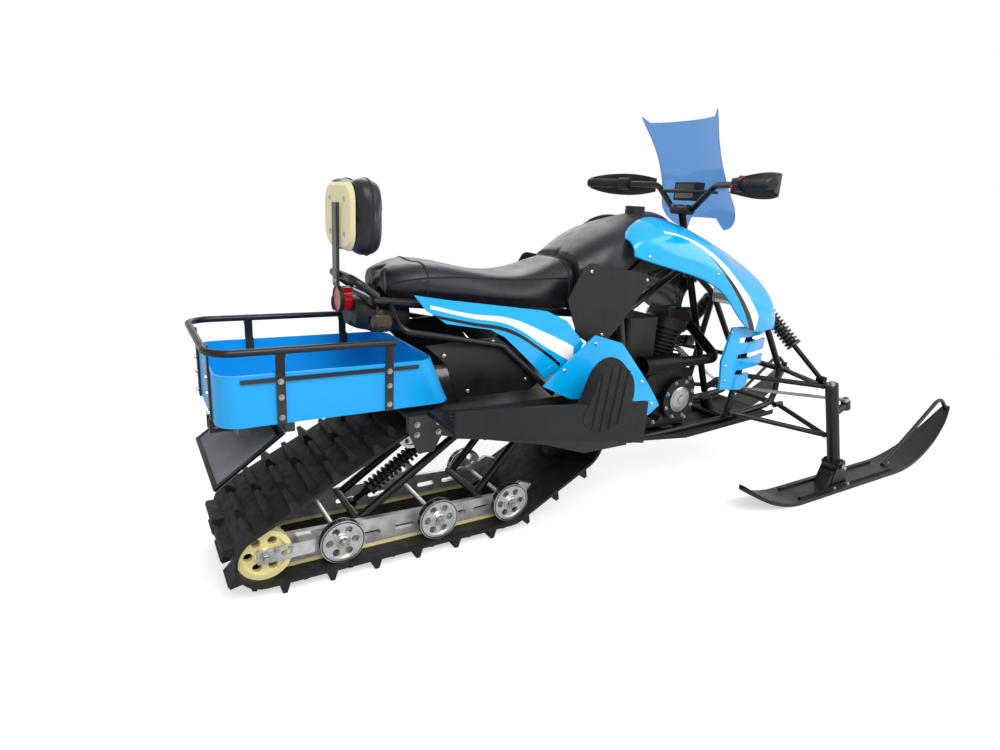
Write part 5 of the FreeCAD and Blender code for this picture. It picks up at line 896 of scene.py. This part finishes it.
@dataclass
class Cushion:
    """A stuffed pad: the CAD solid's form, blown up a little in its cover, with sewn seams."""

    node: str
    material: Material
    voxel: float = 0.006
    shrink: float = 0.004
    cap: float = 0.010
    pressure: float = 4.0
    fill: float = 0.7

    def build(self, frame: dict) -> bpy.types.Object:
        """Returns:
            The finished pad.
        """
        source = frame["nodes"][self.node]
        data = source.data.copy()
        pad = bpy.data.objects.new(self.node + "_cover", data)
        bpy.context.scene.collection.objects.link(pad)
        remesh = pad.modifiers.new("remesh", "REMESH")
        remesh.mode = "VOXEL"
        remesh.voxel_size = self.voxel
        relax = pad.modifiers.new("relax", "SMOOTH")
        relax.iterations = 4
        relax.factor = 0.5
        self.apply(pad)
        for vert, normal in zip(pad.data.vertices, [v.normal.copy() for v in pad.data.vertices]):
            vert.co -= normal * self.shrink
        self.inflate(pad)
        pad.data.materials.clear()
        pad.data.materials.append(self.material.skin())
        pad.data.shade_smooth()
        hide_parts(self.node)
        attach(pad, "chassis")
        log.info("cushion %s: %d faces", pad.name, len(pad.data.polygons))
        return pad

    def inflate(self, pad: bpy.types.Object) -> None:
        """Runs the cover under pressure for twenty frames, and holds every point near its start.

        Args:
            pad: the remeshed pad.
        """
        start = [vert.co.copy() for vert in pad.data.vertices]
        cloth = pad.modifiers.new("cover", "CLOTH")
        cloth.settings.use_pressure = True
        cloth.settings.uniform_pressure_force = self.pressure
        cloth.settings.effector_weights.gravity = 0
        cloth.settings.tension_stiffness = 20
        cloth.settings.bending_stiffness = 0.5
        scene = bpy.context.scene
        for step in range(1, 21):
            scene.frame_set(step)
        self.apply(pad)
        scene.frame_set(1)
        for vert, home in zip(pad.data.vertices, start):
            moved = vert.co - home
            if moved.length > self.cap:
                vert.co = home + moved.normalized() * self.cap
        settle = pad.modifiers.new("settle", "SMOOTH")
        settle.iterations = 3
        self.apply(pad)

    def apply(self, pad: bpy.types.Object) -> None:
        """Writes the result of the pad's modifiers into its mesh.

        Args:
            pad: the pad, which keeps no modifier.
        """
        graph = bpy.context.evaluated_depsgraph_get()
        data = bpy.data.meshes.new_from_object(pad.evaluated_get(graph))
        pad.modifiers.clear()
        pad.data = data


@dataclass
class Upholstery:
    """The covers of seat, tank pad and backrest, and the piping sewn along their seams."""

    piping: float = 0.0032
    hoops: tuple[tuple[float, float], ...] = ((1092, 20), (590, 60))
    hoop_height: float = 770
    seam_stations: tuple[float, float] = (480, 1085)
    seam_height: float = 765
    seam_angle: float = 28
    back_share: float = 0.55

    def build(self, frame: dict) -> None:
        """Makes the three covers and their seams.
        """
        seat = Cushion("seat", Material.SEAT_VINYL, cap=0.009).build(frame)
        tank = Cushion("tank_pad", Material.SEAT_VINYL, cap=0.005, shrink=0.003).build(frame)
        back = Cushion("backrest_pad", Material.SEAT_VINYL, voxel=0.005, cap=0.010).build(frame)
        mesh = bmesh.new()
        skin = Surface(seat)
        for station, low in self.hoops:
            self.hoop(mesh, skin, station, low)
        for side in (-1, 1):
            self.side_seam(mesh, skin, side)
        finish_piece("seat_piping", mesh, Material.SEAT_SIDE, "chassis")
        self.back_seam(Surface(back))
        log.info("covers done: %s %s %s", seat.name, tank.name, back.name)

    def back_seam(self, skin: Surface) -> None:
        """The closed welt round the backrest's rim.

        Args:
            skin: the backrest's cover.
        """
        low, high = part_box("backrest_pad")
        middle = (low + high) / 2
        ring = []
        for step in range(64):
            angle = 2 * math.pi * step / 64
            out = Vector((0, math.cos(angle), math.sin(angle)))
            found = skin.hit(Vector((low.x + (high.x - low.x) * self.back_share, middle.y, middle.z)) + out * 0.4,
                             -out)
            if found:
                ring.append(found[0])
        mesh = bmesh.new()
        add_sweep(mesh, ring, self.piping, 6, closed=True)
        finish_piece("backrest_piping", mesh, Material.SEAT_SIDE, "chassis")

    def hoop(self, mesh: bmesh.types.BMesh, skin: Surface, station: float, low: float) -> None:
        """A welt over the seat from side to side.

        Args:
            mesh: the mesh that it joins.
            skin: the seat's cover.
            station: where it crosses, in mm.
            low: how far it goes down past level, in degrees.
        """
        angles = [math.radians(-low + (180 + 2 * low) * step / 40) for step in range(41)]
        self.sew(mesh, skin, [(place(station, 0, self.hoop_height), Vector((0, math.cos(angle), math.sin(angle))))
                              for angle in angles])

    def side_seam(self, mesh: bmesh.types.BMesh, skin: Surface, side: int) -> None:
        """The long welt where the seat's top panel meets its side.

        Args:
            mesh: the mesh that it joins.
            skin: the seat's cover.
            side: one for left, minus one for right.
        """
        rear, front = self.seam_stations
        angle = math.radians(self.seam_angle)
        out = Vector((0, side * math.cos(angle), math.sin(angle)))
        self.sew(mesh, skin, [(place(rear + (front - rear) * step / 30, 0, self.seam_height), out)
                              for step in range(31)])

    def sew(self, mesh: bmesh.types.BMesh, skin: Surface, lines: Sequence[tuple[Vector, Vector]]) -> None:
        """Lays an open welt on a cover.

        Args:
            mesh: the mesh that it joins.
            skin: the cover.
            lines: for each point of the welt, a place inside the pad and the way out from there.
        """
        path = []
        for middle, out in lines:
            found = skin.hit(middle + out * 0.5, -out)
            if found:
                path.append(found[0] + found[1] * self.piping * 0.2)
        if len(path) > 3:
            add_sweep(mesh, path, self.piping, 6)


@dataclass
class Damper:
    """A damper with a real coil spring: body, rod, two spring plates, an eye at each end."""

    top: Vector
    foot: Vector
    radius: float
    seats: tuple[float, float]
    wire: float = 0.005
    pitch: float = 0.0165

    def build(self, steel: bmesh.types.BMesh, spring: bmesh.types.BMesh) -> None:
        """Adds the damper to one mesh and its spring to another.

        Args:
            steel: the mesh of bodies and rods.
            spring: the mesh of springs and their plates.
        """
        axis = self.foot - self.top
        length = axis.length
        unit = axis.normalized()
        low, high = (length * share for share in self.seats)
        core = self.radius - 2.4 * self.wire
        rod = self.radius * 0.32
        add_turned(steel, self.top, unit, ((core * 0.6, 0), (core * 0.6, low * 0.6), (core, low * 0.8),
                                           (core, high * 0.96), (core * 0.8, high), (rod, high * 1.01)), 20)
        add_turned(steel, self.top, unit, ((rod, high * 0.98), (rod, length)), 14)
        for end in (self.top, self.foot):
            add_turned(steel, end - Vector((0, self.radius * 0.5, 0)), LEFT,
                       ((rod * 1.5, 0), (rod * 1.5, self.radius)), 18)
        for along in (low, high):
            add_turned(spring, self.top + unit * (along - self.wire), unit,
                       ((self.radius * 0.8, 0), (self.radius, self.wire * 0.4), (self.radius, self.wire * 1.6),
                        (self.radius * 0.8, self.wire * 2)), 24)
        self.coil(spring, unit, low, high)

    def coil(self, spring: bmesh.types.BMesh, unit: Vector, low: float, high: float) -> None:
        """Winds the spring between its two plates.

        Args:
            spring: the mesh that it joins.
            unit: the damper's direction, from its top.
            low: where the spring starts, from the top.
            high: where it ends.
        """
        side = unit.orthogonal().normalized()
        across = unit.cross(side)
        turns = (high - low) / self.pitch
        steps = int(turns * 18)
        winding = self.radius - self.wire
        path = []
        for step in range(steps + 1):
            angle = 2 * math.pi * turns * step / steps
            path.append(self.top + unit * (low + (high - low) * step / steps)
                        + (side * math.cos(angle) + across * math.sin(angle)) * winding)
        add_sweep(spring, path, self.wire, 8)


@dataclass
class Suspension:
    """The three dampers, in place of the plain ones of the frame."""

    front_top: tuple[float, float, float] = (2080, 118, 715)
    ball_height: float = 430
    ball_inset: float = 48
    eye_lift: float = 24
    skid_foot: tuple[float, float] = (400, 120)
    skid_top: tuple[float, float] = (760, 368)
    skid_inset: float = 0.0133

    def build(self) -> None:
        """Makes the front pair and the one under the tunnel."""
        ball = kingpin_station(self.ball_height)
        station, across, height = self.front_top
        steel = bmesh.new()
        spring = bmesh.new()
        for side in (-1, 1):
            top = place(station, side * across, height)
            foot = place(ball, side * (SKI_ACROSS - self.ball_inset), self.ball_height + self.eye_lift)
            Damper(top, foot, 0.030, (0.09, 0.56)).build(steel, spring)
        self.close("front", "front_shocks", steel, spring)
        steel = bmesh.new()
        spring = bmesh.new()
        low = place(self.skid_foot[0], 0, self.skid_foot[1])
        high = place(self.skid_top[0], 0, self.skid_top[1])
        inset = (high - low).normalized() * self.skid_inset
        Damper(low + inset, high - inset, 0.026, (0.17, 0.83)).build(steel, spring)
        self.close("skid", "skid_shock", steel, spring)

    def close(self, name: str, node: str, steel: bmesh.types.BMesh, spring: bmesh.types.BMesh) -> None:
        """Makes the two pieces of a damper or a pair, in place of its CAD node.

        Args:
            name: what the pieces' names start with.
            node: the CAD node that they replace.
            steel: the mesh of bodies and rods.
            spring: the mesh of springs and their plates.
        """
        bodies = finish_piece(f"{name}_damper_bodies", steel, Material.DARK_STEEL, "chassis")
        springs = finish_piece(f"{name}_springs", spring, Material.SPRING, "chassis")
        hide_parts(node)
        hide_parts(node)


@dataclass
class RunningGear:
    """Rubber tyres, bearing caps and axle bolts of the wheels inside the track."""

    bogie_stations: tuple[float, ...] = (330, 630, 890)
    bogie_height: float = 102
    bogie_half: float = 160
    tyre_bore: float = 0.0585
    tyre_radius: float = 0.0641
    tyre_half: float = 0.0123
    idler_station: float = 122
    idler_height: float = 110
    idler_half: float = 160
    tension_stations: tuple[float, float] = (150, 188)

    def build(self) -> None:
        """Puts a tyre and a cap on every wheel and a bolt in every axle end."""
        tyres = bmesh.new()
        caps = bmesh.new()
        bolts = Fasteners("track_wheel_bolts", "chassis")
        for station in self.bogie_stations:
            for side in (-1, 1):
                out = outward(side)
                middle = place(station, side * self.bogie_half, self.bogie_height)
                add_ring(tyres, middle, out, self.tyre_bore, self.tyre_radius, self.tyre_half)
                add_turned(caps, middle + out * 0.0118, out, ((0.020, 0), (0.020, 0.0015), (0.017, 0.004)), 28)
                bolts.hex_bolt(place(station, side * (self.bogie_half + 20), self.bogie_height), out, 0.0085)
        bolts.pair(self.idler_station, self.idler_half + 15, self.idler_height, 0.010)
        for station in self.tension_stations:
            bolts.pair(station, self.idler_half + 7, self.idler_height + 12, 0.006)
        for side in (-1, 1):
            add_turned(caps, place(self.idler_station, side * self.idler_half, self.idler_height), outward(side),
                       ((0.021, 0), (0.021, 0.002), (0.018, 0.0045)), 28)
        finish_piece("bogie_tyres", tyres, Material.BELT, "chassis")
        finish_piece("wheel_bearing_caps", caps, Material.ZINC, "chassis")
        bolts.close()


@dataclass
class PanelScrews:
    """Screws seen on the bodywork: places as (station, height) on both sides of a node."""

    places: dict[str, tuple[tuple[float, float], ...]] = field(default_factory=lambda: {
        "side_covers": ((620, 625), (780, 655), (900, 530), (700, 512)),
        "knee_panels": ((1008, 560), (1128, 636), (1300, 506), (1346, 428)),
        "side_panels": ((1082, 608),),
        "front_shrouds": ((1345, 905), (1640, 850), (1975, 690)),
        "rib_fairings": ((1800, 630), (1790, 500), (1800, 440)),
        "tank_skirts": ((1372, 826), (1128, 856), (1195, 650)),
    })
    beyond: float = 600

    def build(self, frame: dict) -> None:
        """Sets each screw on the skin that a line from the side meets.
        """
        screws = Fasteners("panel_screws", "chassis")
        for node, spots in self.places.items():
            skin = Surface(frame["nodes"][node])
            for station, height in spots:
                for side in (-1, 1):
                    found = skin.hit(place(station, side * self.beyond, height), outward(-side))
                    if found:
                        screws.dome(found[0], found[1], 0.0065)
        screws.close()


@dataclass
class TrayFittings:
    """Bolts in the tray's straps and the hanger brackets, and the snow flap's edging."""

    strap_stations: tuple[float, ...] = (171, 451)
    strap_heights: tuple[float, ...] = (508, 560, 600)
    strap_face: float = 205.3
    rear_strap: tuple[float, float] = (18.7, 107)
    hanger_bolts: tuple[tuple[float, float], ...] = ((530, 410), (596, 410), (530, 440), (596, 440))
    hanger_face: float = 213
    flap_top: tuple[float, float] = (178, 458)
    flap_foot: tuple[float, float] = (8, 332)
    flap_half: float = 0.179
    edge_half: float = 0.006
    edge_depth: float = 0.0042

    def build(self) -> None:
        """Three bolts to a strap, and a black border round the flap."""
        bolts = Fasteners("tray_strap_bolts", "chassis")
        for height in self.strap_heights:
            for station in self.strap_stations:
                bolts.pair(station, self.strap_face, height, 0.0055)
            for side in (-1, 1):
                bolts.hex_bolt(place(self.rear_strap[0], side * self.rear_strap[1], height), BACK, 0.0055)
        for station, height in self.hanger_bolts:
            bolts.pair(station, self.hanger_face, height, 0.0065)
        bolts.close()
        self.edging()

    def edging(self) -> None:
        """Two bars down the flap's sides and two across its ends."""
        mesh = bmesh.new()
        top = place(self.flap_top[0], 0, self.flap_top[1])
        low = place(self.flap_foot[0], 0, self.flap_foot[1])
        along = (low - top).normalized()
        axes = (along, LEFT, LEFT.cross(along))
        half = (low - top).length / 2
        for side in (-1, 1):
            add_slab(mesh, (top + low) / 2 + Vector((0, side * self.flap_half, 0)), axes,
                     (half, self.edge_half, self.edge_depth), 0.001)
        for share in (0.06, 0.97):
            add_slab(mesh, top + (low - top) * share, axes, (self.edge_half, self.flap_half, self.edge_depth), 0.001)
        finish_piece("snow_flap_edging", mesh, Material.BLACK_PP, "chassis")


@dataclass
class Footboards:
    """Raised grip studs on the running boards."""

    rear: float = 590
    front: float = 950
    pitch: float = 30
    rows: tuple[float, ...] = (238, 268, 298, 328, 356)
    board_rear: tuple[float, float] = (560, 478)
    drop: float = 70
    run: float = 680

    def build(self) -> None:
        """Rows of studs on both boards, every other row set half a pitch on."""
        studs = Fasteners("footboard_studs", "chassis", Material.BLACK_PP)
        count = int((self.front - self.rear) / self.pitch)
        for side in (-1, 1):
            for row, across in enumerate(self.rows):
                for index in range(count):
                    station = self.rear + self.pitch * (index + 0.5 * (row % 2))
                    height = self.board_rear[1] - (station - self.board_rear[0]) * self.drop / self.run
                    studs.dome(place(station, side * across, height), UP, 0.006)
        studs.close("black_plastic")


@dataclass
class EngineDetails:
    """Cover bolts, round cover plates, carburettor and spark plug cap on the open engine."""

    cover: tuple[float, float] = (1660, 358.3)
    cover_face: float = 138
    bolt_circle: float = 72
    bolt_count: int = 8
    case_bolts: tuple[tuple[float, float], ...] = ((1470, 300), (1500, 420), (1560, 270), (1730, 270), (1735, 430))
    case_face: float = 112
    intake: tuple[float, float] = (1552, 585)
    plug: tuple[float, float] = (1720, 668)

    def build(self) -> None:
        """Bolts round both covers and in the crankcase, and what hangs on the cylinder."""
        bolts = Fasteners("engine_bolts", "chassis")
        station, height = self.cover
        for index in range(self.bolt_count):
            angle = 2 * math.pi * (index + 0.5) / self.bolt_count
            bolts.pair(station + self.bolt_circle * math.cos(angle), self.cover_face,
                       height + self.bolt_circle * math.sin(angle), 0.0055)
        for spot in self.case_bolts:
            bolts.pair(spot[0], self.case_face, spot[1], 0.006)
        bolts.close()
        self.castings()
        rubber = bmesh.new()
        add_turned(rubber, place(self.plug[0], 0, self.plug[1]), Vector((0.9, 0, 0.45)),
                   ((0.010, 0), (0.012, 0.004), (0.012, 0.030), (0.008, 0.036)), 18)
        finish_piece("plug_cap", rubber, Material.GRIP, "chassis")

    def castings(self) -> None:
        """The carburettor's throat, float bowl, slide cap and side screws, and the plates on both covers."""
        mesh = bmesh.new()
        throat = place(self.intake[0], 0, self.intake[1])
        add_turned(mesh, throat - Vector((0.022, 0, 0)), AHEAD,
                   ((0.030, 0), (0.033, 0.004), (0.033, 0.040), (0.030, 0.044)), 28)
        add_turned(mesh, throat - Vector((0, 0, 0.020)), DOWN,
                   ((0.026, 0), (0.026, 0.030), (0.021, 0.036), (0.008, 0.040)), 24)
        add_turned(mesh, throat + Vector((0, 0, 0.024)), UP,
                   ((0.017, 0), (0.017, 0.026), (0.013, 0.034), (0.005, 0.036)), 24)
        for side in (-1, 1):
            add_turned(mesh, throat, outward(side), ((0.013, 0), (0.013, 0.040), (0.009, 0.046)), 20)
        for side in (-1, 1):
            add_turned(mesh, place(self.cover[0], side * (self.cover_face + 0.2), self.cover[1]), outward(side),
                       ((0.050, 0), (0.050, 0.004), (0.044, 0.008), (0.018, 0.009), (0.016, 0.013),
                        (0.010, 0.014)), 40)
        finish_piece("carburettor", mesh, Material.ZINC, "chassis")


@dataclass
class Cockpit:
    """Display, switches, ribbed grips and clamp bolts on the handlebar."""

    bar_height: float = 1150
    outer: tuple[float, float] = (1598, 425)
    bend: tuple[float, float] = (1690, 140)
    rib_radius: float = 0.0168
    rib_pitch: float = 0.0112
    rib_count: int = 11
    rib_wire: float = 0.0018
    housing: float = 0.151
    clamp_stations: tuple[float, float] = (1672, 1708)
    clamp_across: float = 32
    clamp_height: float = 1078

    def build(self) -> None:
        """Everything small on the handlebar; it all turns with the steering."""
        ribs = bmesh.new()
        switches = bmesh.new()
        keys = bmesh.new()
        for side in (-1, 1):
            outer = place(self.outer[0], side * self.outer[1], self.bar_height)
            inward = (place(self.bend[0], side * self.bend[1], self.bar_height) - outer).normalized()
            self.grip(ribs, outer, inward)
            self.switch_box(switches, keys, outer + inward * self.housing, inward, side)
        finish_piece("grip_ribs", ribs, Material.GRIP, "steering")
        finish_piece("switch_pads", switches, Material.BLACK_PP, "steering")
        finish_piece("red_switches", keys, Material.RED_SWITCH, "steering")
        self.display()
        bolts = Fasteners("bar_clamp_bolts", "steering")
        for station in self.clamp_stations:
            for side in (-1, 1):
                bolts.dome(place(station, side * self.clamp_across, self.clamp_height), UP, 0.006)
        bolts.close()

    def grip(self, ribs: bmesh.types.BMesh, outer: Vector, inward: Vector) -> None:
        """Round ribs along one rubber grip.

        Args:
            ribs: the mesh that they join.
            outer: the bar's end.
            inward: the way along the bar from its end.
        """
        around = inward.orthogonal().normalized()
        other = inward.cross(around)
        for index in range(self.rib_count):
            middle = outer + inward * (0.008 + index * self.rib_pitch)
            hoop = [middle + (around * math.cos(math.pi * step / 12)
                              + other * math.sin(math.pi * step / 12)) * self.rib_radius for step in range(24)]
            add_sweep(ribs, hoop, self.rib_wire, 6, closed=True)

    def switch_box(self, switches: bmesh.types.BMesh, keys: bmesh.types.BMesh, housing: Vector, inward: Vector,
                   side: int) -> None:
        """A pad with three buttons that faces the rider, and the red keys of the right-hand one.

        Args:
            switches: the mesh of pads and buttons.
            keys: the mesh of red keys.
            housing: the middle of the housing beside the grip.
            inward: the way along the bar from its end.
            side: one for left, minus one for right.
        """
        ahead = Vector((abs(inward.y), inward.x * side, 0))
        back = -ahead
        add_slab(switches, housing + back * 0.021, (inward, UP, ahead), (0.019, 0.014, 0.004), 0.002)
        for shift, lift in ((-0.010, 0.006), (0.000, -0.006), (0.010, 0.006)):
            add_turned(switches, housing + back * 0.024 + inward * shift + Vector((0, 0, lift)), back,
                       ((0.0042, 0), (0.0042, 0.003), (0.003, 0.004)), 14)
        if side < 0:
            add_turned(keys, housing + Vector((0, 0, 0.020)), UP, ((0.009, 0), (0.009, 0.007), (0.0075, 0.009)), 20)
            add_turned(keys, housing + back * 0.024 + inward * 0.012 - Vector((0, 0, 0.007)), back,
                       ((0.005, 0), (0.005, 0.004), (0.004, 0.005)), 14)

    def display(self) -> None:
        """The glass on the instrument pod's rear face."""
        low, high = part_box("instrument_pod")
        middle = (low + high) / 2
        face = bmesh.new()
        add_slab(face, Vector((low.x - 0.001, middle.y, middle.z)), (AHEAD, LEFT, UP), (0.002, 0.044, 0.025), 0.0015)
        finish_piece("display_glass", face, Material.DIAL, "steering")


@dataclass
class Skis:
    """Pivot nuts and saddle bolts on the skis, and the nuts on top of the kingpins."""

    pivot: tuple[float, float] = (2298.3, 92)
    pivot_half: float = 40
    saddle_shift: float = 48
    saddle_height: float = 14
    loop_shifts: tuple[float, float] = (420, 450)
    loop_height: float = 16

    def build(self) -> None:
        """Bolts for both skis and spindles, each on its own body."""
        station, height = self.pivot
        rake = math.radians(KINGPIN_RAKE)
        for name, side in (("left", 1), ("right", -1)):
            across = side * SKI_ACROSS
            bolts = Fasteners(f"ski_bolts_{name}", f"ski_{name}")
            for out in (-1, 1):
                bolts.hex_bolt(place(station, across + out * self.pivot_half, height), outward(out), 0.0095)
                for way in (-1, 1):
                    bolts.hex_bolt(place(station + way * self.saddle_shift, across + out * self.saddle_shift,
                                         self.saddle_height), UP, 0.006)
            for shift in self.loop_shifts:
                bolts.hex_bolt(place(station + shift, across, self.loop_height), UP, 0.006)
            bolts.close()
            nuts = Fasteners(f"spindle_bolts_{name}", f"spindle_{name}")
            nuts.hex_bolt(place(kingpin_station(KINGPIN_TOP), across, KINGPIN_TOP),
                          Vector((-math.sin(rake), 0, math.cos(rake))), 0.011)
            nuts.close()


@dataclass
class Lamps:
    """Bezels of the lamps, and bolts on the backrest shell."""

    tail: tuple[float, float] = (378, 763.7)
    signal: tuple[float, float, float] = (417, 165, 724)
    shell_face: float = 377
    shell_heights: tuple[float, float] = (945, 1035)
    post_height: float = 815

    def build(self) -> None:
        """A ring round the tail lamp and round each turn signal, four bolts in the shell, two in its post."""
        rings = bmesh.new()
        add_ring(rings, place(self.tail[0], 0, self.tail[1]), BACK, 0.0345, 0.0385, 0.006)
        station, across, height = self.signal
        for side in (-1, 1):
            add_ring(rings, place(station, side * across, height), BACK, 0.0205, 0.0232, 0.005)
        finish_piece("lamp_bezels", rings, Material.BLACK_PP, "chassis")
        bolts = Fasteners("backrest_bolts", "chassis")
        for side in (-1, 1):
            for height in self.shell_heights:
                bolts.dome(place(self.shell_face + 0.2, side * 62, height), BACK, 0.007)
            bolts.dome(place(self.shell_face - 9.3, side * 9, self.post_height), BACK, 0.006)
        bolts.close()


def dress_nodes(frame: dict) -> None:
    """Gives every CAD node its finish.
    """
    for material, names in NODE_FINISHES.items():
        for name in names:
            subject = frame["nodes"][name]
            if not subject.material_slots:
                subject.data.materials.append(material.skin())
            for slot in subject.material_slots:
                slot.material = material.skin()
            log.info("node %s: %s", name, material.value.name)


def main() -> None:
    """Dresses the machine."""
    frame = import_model()
    Studio().build()
    dress_nodes(frame)
    for assembly in (Suspension(), RunningGear(), TrayFittings(), Footboards(), EngineDetails(), Cockpit(), Skis(),
                     Lamps()):
        assembly.build()
    PanelScrews().build(frame)
    Upholstery().build(frame)


if __name__ == "__main__":
    main()
